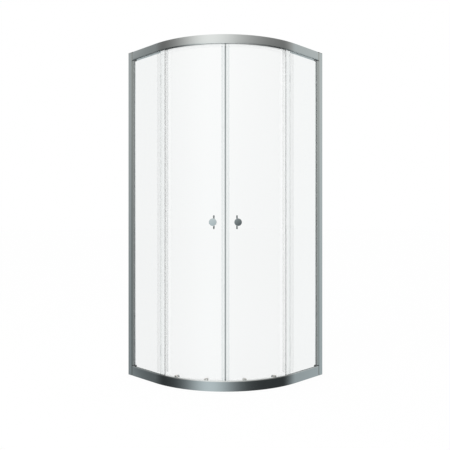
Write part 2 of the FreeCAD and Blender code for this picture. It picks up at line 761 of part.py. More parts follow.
def magnet_seal():
    """Clear clip on the leading edge of the door, with a hollow box that carries the magnet."""
    outer_face = radius_at(DOOR_OUT) + FIT
    inner_face = radius_at(DOOR_IN) - FIT
    middle = (outer_face + inner_face) / 2
    box_start = MEETING_GAP / 2 + MAGNET_THICKNESS
    box_end = box_start + MAGNET_BOX
    clip_end = box_end + SEAL_WALL + FIT + MAGNET_SEAL_LEG
    back_wall = rectangle(
        (inner_face - SEAL_WALL, box_end), (outer_face + SEAL_WALL, box_end + SEAL_WALL)
    )
    box = rectangle(
        (middle - MAGNET_BOX_WIDTH / 2, box_start), (middle + MAGNET_BOX_WIDTH / 2, box_end)
    )
    box_hollow = rectangle(
        (middle - MAGNET_BOX_WIDTH / 2 + SEAL_WALL, box_start + SEAL_WALL),
        (middle + MAGNET_BOX_WIDTH / 2 - SEAL_WALL, box_end - SEAL_WALL),
    )
    heights = (DOOR_SEAL_FOOT, DOOR_SEAL_HEAD)
    leg_turns = [math.degrees(edge / radius_at(DOOR_OUT)) for edge in (box_end, clip_end)]
    legs = [
        curved_sheet(insets, leg_turns, heights)
        for insets in (
            (DOOR_OUT - FIT - SEAL_WALL, DOOR_OUT - FIT),
            (DOOR_IN + FIT, DOOR_IN + FIT + SEAL_WALL),
        )
    ]
    carrier = upright_on_curve(box, 0, *heights).cut(upright_on_curve(box_hollow, 0, *heights))
    return carrier.fuse([upright_on_curve(back_wall, 0, *heights)] + legs).removeSplitter()


def magnet_strip():
    middle = (radius_at(DOOR_OUT) + radius_at(DOOR_IN)) / 2
    outline = rectangle(
        (middle - MAGNET_WIDTH / 2, MEETING_GAP / 2),
        (middle + MAGNET_WIDTH / 2, MEETING_GAP / 2 + MAGNET_THICKNESS),
    )
    return upright_on_curve(outline, 0, DOOR_SEAL_FOOT, DOOR_SEAL_HEAD)


def trailing_seal():
    """Clear clip on the trailing edge of the door, with a fin that reaches to the fixed glass."""
    outer_face = radius_at(DOOR_OUT) + FIT
    inner_face = radius_at(DOOR_IN) - FIT
    fin_tip = radius_at(FIXED_IN) - SEAL_GAP
    outline = [
        (inner_face - SEAL_WALL, 0),
        (inner_face - SEAL_WALL, -EDGE_SEAL_LEG),
        (inner_face, -EDGE_SEAL_LEG),
        (inner_face, -SEAL_WALL),
        (outer_face, -SEAL_WALL),
        (outer_face, -EDGE_SEAL_LEG),
        (outer_face + SEAL_WALL, -EDGE_SEAL_LEG),
        (outer_face + SEAL_WALL, 0),
    ]
    clip = upright_on_curve(outline, DOOR_EDGE_TURN, DOOR_SEAL_FOOT, DOOR_SEAL_HEAD)
    fin_outline = rectangle((outer_face + SEAL_WALL, -SEAL_WALL), (fin_tip, 0))
    fin_foot = BOTTOM_RAIL_HEIGHT + DOOR_SEAL_GAP
    fin = upright_on_curve(fin_outline, DOOR_EDGE_TURN, fin_foot, DOOR_SEAL_HEAD)
    return clip.fuse(fin).removeSplitter()


# Rollers, each built along +X and then set at its place on the door


def wheel():
    body = rod(radius_at(WHEEL_IN), radius_at(WHEEL_OUT), WHEEL_RADIUS)
    rims = [edge for edge in body.Edges if edge.Closed]
    body = body.makeChamfer(WHEEL_EDGE, rims)
    bore = BEARING_RADIUS + RUNNING_FIT
    return body.cut(rod(radius_at(WHEEL_IN), radius_at(WHEEL_OUT), bore))


def roller_bearing():
    start = radius_at(WHEEL_IN) - ROLL_GAP
    end = radius_at(WHEEL_OUT) + ROLL_GAP
    return tube(start, end, BEARING_RADIUS, AXLE_RADIUS)


def roller_axle():
    """Round-headed bolt from outside the wheel to the cap nut inside the glass."""
    head_start = radius_at(WHEEL_OUT) + ROLL_GAP
    head = rod(head_start, head_start + AXLE_HEAD, AXLE_HEAD_RADIUS)
    rim = [edge for edge in head.Edges if abs(edge.CenterOfMass.x - head_start) > FIT and edge.Closed]
    head = head.makeChamfer(AXLE_HEAD / 2, rim)
    return head.fuse(rod(cap_nut_face() - AXLE_END_DEPTH, head_start, AXLE_RADIUS))


def cap_nut_face():
    """Distance from the curve's centre to the side of the cap nut that faces the glass."""
    return radius_at(DOOR_IN) - SAG_ALLOWANCE - BUSH_FLANGE


def roller_collar():
    """Stepped spacer between the glass and the bearing."""
    seat = radius_at(DOOR_OUT) + BUSH_FLANGE
    flange = rod(seat, seat + COLLAR_FLANGE, COLLAR_FLANGE_RADIUS)
    sleeve = rod(seat, radius_at(WHEEL_IN) - ROLL_GAP, COLLAR_RADIUS)
    bore = rod(seat, radius_at(WHEEL_IN) - ROLL_GAP, AXLE_RADIUS)
    return flange.fuse(sleeve).cut(bore)


def roller_bush():
    """Plastic bush through the glass, with a flange on its outer face."""
    outside = radius_at(DOOR_OUT)
    inside = radius_at(DOOR_IN) - SAG_ALLOWANCE
    flange = rod(outside, outside + BUSH_FLANGE, COLLAR_FLANGE_RADIUS)
    sleeve = rod(inside, outside, BUSH_RADIUS)
    return flange.fuse(sleeve).cut(rod(inside, outside + BUSH_FLANGE, AXLE_RADIUS))


def roller_washer():
    """Plastic washer between the inner face of the glass and the cap nut."""
    return tube(
        cap_nut_face(), radius_at(DOOR_IN) - SAG_ALLOWANCE, COLLAR_FLANGE_RADIUS, AXLE_RADIUS
    )


def roller_cap_nut():
    face = cap_nut_face()
    back = face - CAP_NUT_THICKNESS
    nut = rod(back, face, CAP_NUT_RADIUS)
    rim = [edge for edge in nut.Edges if abs(edge.CenterOfMass.x - back) < FIT]
    nut = nut.makeFillet(CAP_NUT_ROUND, rim)
    return nut.cut(rod(face - AXLE_END_DEPTH, face, AXLE_RADIUS))


def at_rollers(shapes):
    """Copies of the shapes at the four rollers of the right door."""
    return [on_curve(shape, turn, height) for turn, height in roller_places() for shape in shapes]


def door_stop():
    """Rubber block in the top trough that the trailing wheel meets at the end of its travel."""
    past_curve = math.radians(TRAIL_TURN + DOOR_TRAVEL - HALF_TURN)
    centre_radius = (radius_at(WHEEL_OUT) + radius_at(WHEEL_IN)) / 2
    wheel_run = STRAIGHT - centre_radius * math.sin(past_curve)
    reach = WHEEL_RADIUS * math.cos(past_curve) + WHEEL_WIDTH / 2 * math.sin(past_curve)
    stop_end = wheel_run - reach - STOP_GAP
    stop = block(
        (TROUGH_OUT + FIT, TROUGH_IN - FIT),
        (stop_end - STOP_LENGTH, stop_end),
        (TOP_FLOOR, TOP_FLOOR + STOP_HEIGHT),
    )
    # On a short straight the stop sits over the corner screw and has a recess for the screw's head
    recess = corner_screw_hole(
        TOP_FLOOR,
        TOP_FLOOR + CORNER_SCREW_HEAD + PLUG_FIT,
        CORNER_SCREW_HEAD_RADIUS + PLUG_FIT,
    )
    return stop.cut(recess)


# Handles


def outer_knob():
    """Round mushroom knob with a domed face, on a neck and a small foot."""
    foot = radius_at(DOOR_OUT) + WASHER
    front = radius_at(DOOR_OUT) + KNOB_PROJECTION
    rim = front - KNOB_DOME
    disc = front - KNOB_DISC
    step = KNOB_ROUND * (1 - math.sqrt(0.5))
    thread_end = foot + KNOB_THREAD_DEPTH
    points = {
        "thread_mouth": (foot, BOLT_RADIUS),
        "foot_edge": (foot, KNOB_FOOT_RADIUS),
        "foot_top": (foot + KNOB_FOOT, KNOB_FOOT_RADIUS),
        "neck_foot": (foot + KNOB_FOOT, KNOB_NECK_RADIUS),
        "neck_head": (disc, KNOB_NECK_RADIUS),
        "back_edge": (disc, KNOB_RADIUS - KNOB_ROUND),
        "back_round": (disc + step, KNOB_RADIUS - step),
        "side_back": (disc + KNOB_ROUND, KNOB_RADIUS),
        "side_front": (rim - KNOB_ROUND, KNOB_RADIUS),
        "front_round": (rim - step, KNOB_RADIUS - step),
        "front_edge": (rim, KNOB_RADIUS - KNOB_ROUND),
        "front_axis": (front, 0),
        "thread_axis": (thread_end, 0),
        "thread_wall": (thread_end, BOLT_RADIUS),
    }
    dome_edge = KNOB_RADIUS - KNOB_ROUND
    dome_radius = (dome_edge**2 + KNOB_DOME**2) / (2 * KNOB_DOME)
    dome_drop = dome_radius - math.sqrt(dome_radius**2 - (dome_edge / 2) ** 2)
    dome_middle = (front - dome_drop, dome_edge / 2)
    edges = [
        line(points["thread_mouth"], points["foot_edge"]),
        line(points["foot_edge"], points["foot_top"]),
        line(points["foot_top"], points["neck_foot"]),
        line(points["neck_foot"], points["neck_head"]),
        line(points["neck_head"], points["back_edge"]),
        arc(points["back_edge"], points["back_round"], points["side_back"]),
        line(points["side_back"], points["side_front"]),
        arc(points["side_front"], points["front_round"], points["front_edge"]),
        arc(points["front_edge"], dome_middle, points["front_axis"]),
        line(points["front_axis"], points["thread_axis"]),
        line(points["thread_axis"], points["thread_wall"]),
        line(points["thread_wall"], points["thread_mouth"]),
    ]
    return on_curve(turned(edges), HANDLE_TURN, HANDLE_HEIGHT)


def inner_handle():
    """Short upright bar on a stem, on the inner face of the glass."""
    face = radius_at(DOOR_IN) - SAG_ALLOWANCE - WASHER
    bar_face = face - BAR_STANDOFF
    corner = FreeCAD.Vector(bar_face - BAR_THICKNESS, -BAR_WIDTH / 2, -BAR_LENGTH / 2)
    bar = Part.makeBox(BAR_THICKNESS, BAR_WIDTH, BAR_LENGTH, corner)
    bar = bar.makeFillet(BAR_ROUND, bar.Edges)
    stem = rod(bar_face - BAR_THICKNESS / 2, face, BAR_STEM_RADIUS)
    stem_trim = rod(bar_face, face, BAR_STEM_RADIUS)
    thread = rod(face - BAR_STANDOFF - BAR_THREAD_DEPTH, face, BOLT_RADIUS)
    handle = bar.fuse(stem.common(bar).fuse(stem_trim)).removeSplitter()
    return on_curve(handle.cut(thread), HANDLE_TURN, HANDLE_HEIGHT)


def handle_bolt():
    """Stud that ties the knob to the inner handle through the glass."""
    inner_end = radius_at(DOOR_IN) - SAG_ALLOWANCE - WASHER - BAR_STANDOFF - BAR_THREAD_DEPTH
    outer_end = radius_at(DOOR_OUT) + WASHER + KNOB_THREAD_DEPTH
    return on_curve(rod(inner_end, outer_end, BOLT_RADIUS), HANDLE_TURN, HANDLE_HEIGHT)


def handle_washers():
    outside = radius_at(DOOR_OUT)
    inside = radius_at(DOOR_IN) - SAG_ALLOWANCE
    washers = [
        tube(outside, outside + WASHER, WASHER_RADIUS, BOLT_RADIUS),
        tube(inside - WASHER, inside, WASHER_RADIUS, BOLT_RADIUS),
    ]
    return [on_curve(washer, HANDLE_TURN, HANDLE_HEIGHT) for washer in washers]


# Nodes


def frame_nodes():
    """Pieces that stay where they are."""
    bottom_infill, top_infill = infill_strips()
    fixing_heights = fixing_screw_heights()
    paired = {
        "wall_profile": wall_profile(),
        "side_jamb": side_jamb(),
        "jamb_gasket": jamb_gasket(),
        "fixed_glass": fixed_glass(),
        "rail_gaskets": Part.makeCompound(rail_gaskets()),
        "fixed_edge_seal": fixed_edge_seal(),
        "corner_blocks": Part.makeCompound([bottom_corner_block(), top_corner_block()]),
    }
    nodes = {
        "top_rail": top_rail(),
        "bottom_rail": bottom_rail(),
        "top_infill_strip": top_infill,
        "bottom_infill_strip": bottom_infill,
        "wall_profile_caps": both_sides([wall_profile_cap()]),
        "corner_screws": both_sides(corner_screws()),
        "fixing_screws": both_sides([fixing_screw(height) for height in fixing_heights]),
        "fixing_screw_caps": both_sides([fixing_screw_cap(height) for height in fixing_heights]),
        "door_stops": both_sides([door_stop()]),
    }
    for name, shape in paired.items():
        nodes["right_" + name] = shape
        nodes["left_" + name] = mirrored(shape)
    return nodes


def door_nodes():
    """Pieces of the right door and their mirrored twins on the left door."""
    pieces = {
        "door_glass": door_glass(),
        "magnet_seal": magnet_seal(),
        "magnet_strip": magnet_strip(),
        "trailing_seal": trailing_seal(),
        "roller_axles": Part.makeCompound(at_rollers([roller_axle()])),
        "roller_bearings": Part.makeCompound(at_rollers([roller_bearing()])),
        "roller_collars": Part.makeCompound(at_rollers([roller_collar()])),
        "roller_bushes": Part.makeCompound(at_rollers([roller_bush(), roller_washer()])),
        "roller_cap_nuts": Part.makeCompound(at_rollers([roller_cap_nut()])),
        "outer_knob": outer_knob(),
        "inner_handle": inner_handle(),
        "handle_bolt": handle_bolt(),
        "handle_washers": Part.makeCompound(handle_washers()),
    }
    for end, turn in (("lead", LEAD_TURN), ("trail", TRAIL_TURN)):
        for level, height in (("bottom", BOTTOM_AXLE), ("top", TOP_AXLE)):
            pieces[level + "_" + end + "_wheel"] = on_curve(wheel(), turn, height)
    nodes = {}
    for name, shape in pieces.items():
        nodes["right_" + name] = shape
        nodes["left_" + name] = mirrored(shape)
    return nodes


def main():
    os.makedirs("parts", exist_ok=True)
    nodes = {**frame_nodes(), **door_nodes()}
    for name, shape in nodes.items():
        shape.exportStep("parts/" + name + ".step")


main()
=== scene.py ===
import json
import math
from contextlib import contextmanager

import bmesh
import bpy
from bpy.props import FloatProperty, FloatVectorProperty, IntProperty, PointerProperty
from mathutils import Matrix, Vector


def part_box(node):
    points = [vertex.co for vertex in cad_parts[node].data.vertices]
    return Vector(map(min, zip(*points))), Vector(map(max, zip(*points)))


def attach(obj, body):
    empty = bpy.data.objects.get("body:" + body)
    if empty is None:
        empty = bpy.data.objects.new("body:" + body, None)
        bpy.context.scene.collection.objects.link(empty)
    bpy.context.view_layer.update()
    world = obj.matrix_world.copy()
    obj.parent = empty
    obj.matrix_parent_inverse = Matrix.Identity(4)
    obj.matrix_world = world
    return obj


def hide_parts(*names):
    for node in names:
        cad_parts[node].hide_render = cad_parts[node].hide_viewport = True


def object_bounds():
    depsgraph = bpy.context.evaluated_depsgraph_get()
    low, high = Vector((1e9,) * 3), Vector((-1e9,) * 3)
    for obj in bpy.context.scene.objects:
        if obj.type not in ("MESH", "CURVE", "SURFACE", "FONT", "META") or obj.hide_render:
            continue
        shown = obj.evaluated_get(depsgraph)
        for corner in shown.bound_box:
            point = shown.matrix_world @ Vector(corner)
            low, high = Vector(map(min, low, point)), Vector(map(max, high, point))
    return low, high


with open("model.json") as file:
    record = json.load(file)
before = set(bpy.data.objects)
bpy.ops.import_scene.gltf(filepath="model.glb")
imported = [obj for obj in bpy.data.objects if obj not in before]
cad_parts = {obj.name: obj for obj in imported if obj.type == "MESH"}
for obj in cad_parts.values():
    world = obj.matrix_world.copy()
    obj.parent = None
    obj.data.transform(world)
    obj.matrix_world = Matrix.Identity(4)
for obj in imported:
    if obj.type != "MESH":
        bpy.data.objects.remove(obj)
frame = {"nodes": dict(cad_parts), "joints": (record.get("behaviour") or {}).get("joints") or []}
CAD_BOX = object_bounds()

bl_info = {
    "name": "Quadrant Shower Screen",
    "version": (1, 0, 0),
    "blender": (4, 5, 0),
    "location": "View3D > Sidebar > Shower Screen",
    "description": "Dresses the packed quadrant shower screen and sets its studio",
    "category": "Object",
}

# Words for places on the screen:
#   inset  distance inwards from the outer face of the rails
#   run    distance along a straight side, from the wall
#   turn   angle along the curve from the middle of the front, positive to the right
MM = 0.001
HALF = CAD_BOX[1].x
HEIGHT = CAD_BOX[1].z
DOOR_HINGE = next(joint for joint in frame["joints"] if joint["name"] == "right_door_slide")
CENTRE = Vector(DOOR_HINGE["pos_m"][:2])
FRONT_RADIUS = HALF - CENTRE.x
STRAIGHT = HALF - CENTRE.y
QUARTER = math.pi / 2
HALF_CURVE = QUARTER / 2
FRONT_LENGTH = 2 * STRAIGHT + FRONT_RADIUS * QUARTER

# Rail sections
RAIL_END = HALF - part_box("top_rail")[1].y
RAIL_IN = 43.2 * MM
TOP_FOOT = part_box("top_rail")[0].z
BOTTOM_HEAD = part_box("bottom_rail")[1].z
RAIL_WALL = 2.0 * MM
RAIL_WEB = 2.5 * MM
BEVEL_DEPTH = 1.8 * MM
TOP_BEVEL_RISE = 3.6 * MM
BOTTOM_BEVEL_RISE = 4.5 * MM
BEAD_IN = 2.8 * MM
BEAD_LAND = 1.5 * MM
BEAD_DROP = 3.5 * MM
POCKET_IN = 12.0 * MM
TROUGH_OUT = 13.5 * MM
TROUGH_IN = 29.5 * MM
LIP_IN = 31.0 * MM
LIP_RISE = 4.0 * MM
TOP_POCKET = TOP_FOOT + 14.0 * MM
TOP_FLOOR = TOP_FOOT + 3.0 * MM
TOP_FLANGE = HEIGHT - 10.0 * MM
BOTTOM_FLOOR = BOTTOM_HEAD - 16.0 * MM
SILL_OUTER = 24.0 * MM
SILL_INNER = 20.0 * MM
FIT = 0.2 * MM
INFILL_WALL = 1.4 * MM
TOP_INFILL_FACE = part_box("top_infill_strip")[0].z
BOTTOM_INFILL_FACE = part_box("bottom_infill_strip")[1].z
INFILL_TURN = math.radians(37.286)

# Glass
FIXED_OUT = 5.0 * MM
FIXED_IN = 10.0 * MM
FIXED_TURN = math.radians(37.629)
DOOR_OUT = 33.2 * MM
DOOR_GLASS = 5.0 * MM
DOOR_RADIUS = FRONT_RADIUS - DOOR_OUT
DOOR_LEAD = 11.0 * MM / DOOR_RADIUS
DOOR_TRAIL = math.radians(44.5) - 1.2 * MM / DOOR_RADIUS
GLASS_HOLE = 5.2 * MM

# Screw caps in the wall profiles
WALL_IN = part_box("right_wall_profile")[0].x
CAP_RUN = 18.0 * MM
CAP_PITCH = 725.0 * MM

# Rollers; places along an axle are from the middle of its wheel, outwards
WHEEL_RADIUS = 12.0 * MM
WHEEL_BORE = 5.05 * MM
WHEEL_FACE = 3.0 * MM
WHEEL_DISH = 2.4 * MM
BEARING_FACE = 3.3 * MM
BEARING_RADIUS = 5.0 * MM
BEARING_SHIELD = 2.9 * MM
AXLE_RADIUS = 3.0 * MM
AXLE_HEAD = 4.6 * MM
AXLE_END = -23.6 * MM
FLANGE_RADIUS = 8.0 * MM
SLEEVE_RADIUS = 5.0 * MM
COLLAR_SEAT = -13.9 * MM
COLLAR_FLANGE = -12.9 * MM
BUSH_OUTSIDE = -14.7 * MM
BUSH_INSIDE = -19.8 * MM
NUT_SEAT = -20.6 * MM
NUT_BACK = -25.1 * MM
NUT_RADIUS = 7.0 * MM

# A shape turned on the lathe has its axis along X, outwards through the glass
LATHE_STEPS = 64
SMOOTH_FLATS = math.radians(8)
SMOOTH_ROUNDS = math.radians(40)
SIDES = ("right", "left")
ENDS = ("lead", "trail")
LEVELS = ("bottom", "top")
SEAM = 0.002 * MM


# Nodes

# A Mix node has sockets of one name for each kind of data; these are the places of its colours
MIX_FACTOR = 0
MIX_FIRST = 6
MIX_SECOND = 7
MIX_RESULT = 2


class Nodes:
    """Adds nodes to one tree."""

    def __init__(self, tree):
        self.tree = tree

    def add(self, kind, inputs=None, output=0, **settings):
        """One node of a kind, with its settings and then its inputs, as the wire from one output."""
        node = self.tree.nodes.new(kind)
        for name, value in settings.items():
            setattr(node, name, value)
        for key, value in (inputs or {}).items():
            socket = node.inputs[key]
            if isinstance(value, Wire):
                self.tree.links.new(value.socket, socket)
            else:
                socket.default_value = value
        return Wire(self, node.outputs[output]) if len(node.outputs) else node

    def maths(self, operation, *values):
        return self.add("ShaderNodeMath", dict(enumerate(values)), operation=operation)

    def split(self, vector):
        """Wires of a vector's X, Y and Z."""
        return [self.add("ShaderNodeSeparateXYZ", {"Vector": vector}, axis) for axis in "XYZ"]

    def varied(self, factor, tone, low, high):
        """A colour that goes from a low share of a tone to a high one."""
        first, second = [(*[part * level for part in tone], 1.0) for level in (low, high)]
        colours = {MIX_FACTOR: factor, MIX_FIRST: first, MIX_SECOND: second}
        return self.add("ShaderNodeMix", colours, MIX_RESULT, data_type="RGBA")

    def bump(self, height, strength, distance):
        inputs = {"Strength": strength, "Distance": distance, "Height": height}
        return self.add("ShaderNodeBump", inputs)


def operator(operation, reflected=False):
    """A method that adds a Math node on a wire and another value."""

    def method(wire, other):
        values = (other, wire) if reflected else (wire, other)
        return wire.nodes.maths(operation, *values)

    return method


class Wire:
    """An output socket that Python's operators work on."""

    def __init__(self, nodes, socket):
        self.nodes = nodes
        self.socket = socket

    def maths(self, operation, *others):
        """A Math node on this wire and others."""
        return self.nodes.maths(operation, self, *others)

    __add__ = operator("ADD")
    __radd__ = operator("ADD", True)
    __sub__ = operator("SUBTRACT")
    __rsub__ = operator("SUBTRACT", True)
    __mul__ = operator("MULTIPLY")
    __rmul__ = operator("MULTIPLY", True)
    __truediv__ = operator("DIVIDE")
    __rtruediv__ = operator("DIVIDE", True)
    __gt__ = operator("GREATER_THAN")
    __lt__ = operator("LESS_THAN")

    def bell(self, width):
        """1 where this is zero, falling smoothly to nothing past the width."""
        share = self / width
        return (share * share * -1.0).maths("EXPONENT")

    def rise(self, start, end):
        """0 at the start, 1 at the end, smooth between them."""
        inputs = {"Value": self, "From Min": start, "From Max": end}
        return self.nodes.add("ShaderNodeMapRange", inputs, interpolation_type="SMOOTHSTEP", clamp=True)

    def blend(self, first, second):
        """The first value where this is 0 and the second where it is 1."""
        return first + (second - first) * self


# Settings


def length(name, description, default):
    return FloatProperty(
        name=name, description=description, default=default, min=0, unit="LENGTH", precision=5
    )


def share(name, description, default):
    return FloatProperty(
        name=name, description=description, default=default, min=0, max=1, subtype="FACTOR"
    )


def colour(name, description, default):
    return FloatVectorProperty(
        name=name, description=description, default=default, min=0, max=1, subtype="COLOR"
    )


class FrameSettings(bpy.types.PropertyGroup):
    """Rails, wall profiles, jambs and blocks."""

    metal: colour("Metal", "Colour of the bright extrusions", (0.81, 0.82, 0.82))
    roughness: share("Roughness", "Roughness of the bright extrusions", 0.10)
    jamb_metal: colour("Jamb metal", "Colour of the side jambs", (0.64, 0.64, 0.62))
    blocks: colour("Blocks", "Colour of the moulded corner blocks", (0.030, 0.033, 0.036))
    gasket: colour("Gasket", "Colour of the glazing gaskets", (0.42, 0.435, 0.44))
    rubber: colour("Rubber", "Colour of the door stops", (0.17, 0.178, 0.18))
    edge_round: length("Edge rounding", "Radius on the edges of the extrusions", 0.35 * MM)
    curve_steps: IntProperty(
        name="Curve steps", description="Points on the curve of the rails", default=72, min=8
    )


class GlassSettings(bpy.types.PropertyGroup):
    """Glass and the clear seals."""

    tint: colour("Tint", "Colour of light after a long way in the glass", (0.30, 0.47, 0.45))
    density: FloatProperty(
        name="Tint density", description="Absorption for each metre of glass", default=12.0, min=0
    )
    edge_round: length("Edge rounding", "Radius on the polished edges", 0.6 * MM)
    seal: colour("Seal", "Colour of the doors' meeting seals", (0.925, 0.94, 0.94))
    edge_seal: colour("Edge seal", "Colour of the fixed panels' seals", (0.93, 0.945, 0.945))
    edge_cover: share("Edge seal cover", "Share of light that each face of it stops", 0.30)
    trail_seal: colour("Trailing seal", "Colour of the doors' trailing seals", (0.72, 0.75, 0.75))
    trail_cover: share("Trailing seal cover", "Share of light that each face of it stops", 0.07)
    seal_roughness: share("Seal roughness", "Roughness of the clear seals", 0.08)
    magnet: colour("Magnet", "Colour of the magnet strips", (0.20, 0.235, 0.24))
    columns: IntProperty(name="Columns", description="Steps across each curved door", default=48, min=8)


class FittingSettings(bpy.types.PropertyGroup):
    """Rollers, handles and screw caps."""

    chrome: colour("Chrome", "Colour of the plated fittings", (0.80, 0.82, 0.825))
    bar: colour("Inner bars", "Colour of the bars inside the doors", (0.17, 0.19, 0.19))
    steel: colour("Steel", "Colour of bolts and bearings", (0.56, 0.57, 0.58))
    wheel: colour("Wheel", "Colour of the roller wheels", (0.62, 0.59, 0.56))
    wheel_groove: length("Wheel groove", "Depth of the groove in each wheel's tread", 0.7 * MM)
    socket_width: length("Socket", "Width across the flats of the bolts' sockets", 5.0 * MM)
    socket_depth: length("Socket depth", "Depth of the bolts' sockets", 0.8 * MM)
    bar_round: length("Bar rounding", "Radius on the edges of the inner bars", 2.5 * MM)


class StudioSettings(bpy.types.PropertyGroup):
    """Camera, light and floor."""

    lens: FloatProperty(name="Lens", description="Focal length in millimetres", default=45.2, min=1)
    distance: length("Distance", "Camera's distance from the middle of the screen", 3.257)
    eye: length("Eye height", "Height of the camera", 0.876)
    shift_x: FloatProperty(name="Shift X", description="Sideways shift", default=-0.0009)
    shift_y: FloatProperty(name="Shift Y", description="Upward shift", default=-0.0058)
    ambient: share("Ambient", "Even light from all round", 0.88)
    key: FloatProperty(
        name="Key light", description="Power of the soft light", default=55.0, min=0, subtype="POWER"
    )
    floor: colour("Floor", "Colour of the floor", (0.97, 0.97, 0.97))
    floor_white: share("Floor white", "Share of plain white in the floor as it is seen", 0.96)


def settings(name):
    return getattr(bpy.context.scene, name)


# Materials

WHITE = (1.0, 1.0, 1.0, 1.0)
GLASS_IOR = 1.52
SEAL_IOR = 1.25

# Scales of the noise that draws lines along a piece: fine across it and coarse along it
LEVEL_LINES = (4.0, 4.0, 1500.0)
UPRIGHT_LINES = (1500.0, 1500.0, 5.0)
SEAL_STREAKS = (900.0, 900.0, 4.0)


def new_material(name):
    material = bpy.data.materials.new(name)
    material.use_nodes = True
    material.node_tree.nodes.clear()
    return material, Nodes(material.node_tree)


def surface(material, nodes, looks, volume=None):
    """The material, finished by a Principled shader with these looks."""
    ends = {"Surface": nodes.add("ShaderNodeBsdfPrincipled", looks)}
    if volume is not None:
        ends["Volume"] = volume
    nodes.add("ShaderNodeOutputMaterial", ends)
    return material


def noise(nodes, scale, detail=3.0, stretch=(1.0, 1.0, 1.0)):
    """Noise over the object's own coordinates, from 0 to 1."""
    place = nodes.add("ShaderNodeTexCoord", output="Object")
    mapped = nodes.add("ShaderNodeMapping", {"Vector": place, "Scale": stretch})
    inputs = {"Vector": mapped, "Scale": scale, "Detail": detail, "Roughness": 0.55}
    return nodes.add("ShaderNodeTexNoise", inputs, "Fac")


def drawn_metal(name, metal, roughness, stretch):
    """Bright extrusion with fine draw lines along its length and a faint handled haze."""
    material, nodes = new_material(name)
    lines = noise(nodes, 1.0, 2.0, stretch)
    haze = noise(nodes, 7.0, 4.0)
    looks = {
        "Base Color": nodes.varied(lines, metal, 0.95, 1.04),
        "Metallic": 1.0,
        "Roughness": roughness + (lines - 0.5) * 0.05 + (haze - 0.5) * 0.05,
        "Normal": nodes.bump(lines, 0.06, 0.02 * MM),
    }
    return surface(material, nodes, looks)


def plated_metal(name, metal, roughness):
    """Smooth plating with faint wiping marks."""
    material, nodes = new_material(name)
    haze = noise(nodes, 60.0, 4.0)
    looks = {
        "Base Color": nodes.varied(haze, metal, 0.96, 1.04),
        "Metallic": 1.0,
        "Roughness": roughness + haze * 0.05,
    }
    return surface(material, nodes, looks)


def turned_steel(name, metal):
    """Steel with fine turning marks."""
    material, nodes = new_material(name)
    marks = noise(nodes, 2600.0, 2.0)
    looks = {
        "Base Color": nodes.varied(marks, metal, 0.85, 1.1),
        "Metallic": 1.0,
        "Roughness": 0.24 + marks * 0.14,
        "Normal": nodes.bump(marks, 0.10, 0.03 * MM),
    }
    return surface(material, nodes, looks)


def moulded(name, tone, roughness, grain_scale, grain_depth, mottle):
    """Moulded plastic or rubber with a fine grain and slight unevenness of colour."""
    material, nodes = new_material(name)
    grain = noise(nodes, grain_scale, 3.0)
    patches = noise(nodes, 38.0, 3.0)
    looks = {
        "Base Color": nodes.varied(patches, tone, 1 - mottle, 1 + mottle),
        "Roughness": roughness + (grain - 0.5) * 0.16,
        "Normal": nodes.bump(grain, 0.35, grain_depth),
    }
    return surface(material, nodes, looks)


def clear_glass():
    """Toughened float glass: faintly wavy faces, and a green that deepens along its edges."""
    glass = settings("screen_glass")
    material, nodes = new_material("clear_glass")
    wave = noise(nodes, 3.0, 1.0)
    film = noise(nodes, 11.0, 4.0)
    absorbed = {"Color": (*glass.tint, 1.0), "Density": glass.density}
    looks = {
        "Base Color": WHITE,
        "Roughness": film * 0.012,
        "IOR": GLASS_IOR,
        "Transmission Weight": 1.0,
        "Normal": nodes.bump(wave, 0.02, 0.4 * MM),
    }
    return surface(material, nodes, looks, nodes.add("ShaderNodeVolumeAbsorption", absorbed))


def film_seal(name, tone, cover):
    """Thin clear plastic, streaked along its length, that covers a share of what is behind it."""
    material, nodes = new_material(name)
    streaks = noise(nodes, 1.0, 3.0, SEAL_STREAKS)
    looks = {
        "Base Color": nodes.varied(streaks, tone, 0.98, 1.02),
        "Roughness": 0.35 + (streaks - 0.5) * 0.06,
        "Alpha": cover * (0.94 + streaks * 0.12),
    }
    return surface(material, nodes, looks)


def clear_seal(name, tone, roughness):
    """Clear extruded plastic, streaked along its length."""
    material, nodes = new_material(name)
    streaks = noise(nodes, 1.0, 3.0, SEAL_STREAKS)
    looks = {
        "Base Color": nodes.varied(streaks, tone, 0.985, 1.015),
        "Roughness": roughness + (streaks - 0.5) * 0.06,
        "IOR": SEAL_IOR,
        "Transmission Weight": 1.0,
    }
    return surface(material, nodes, looks)


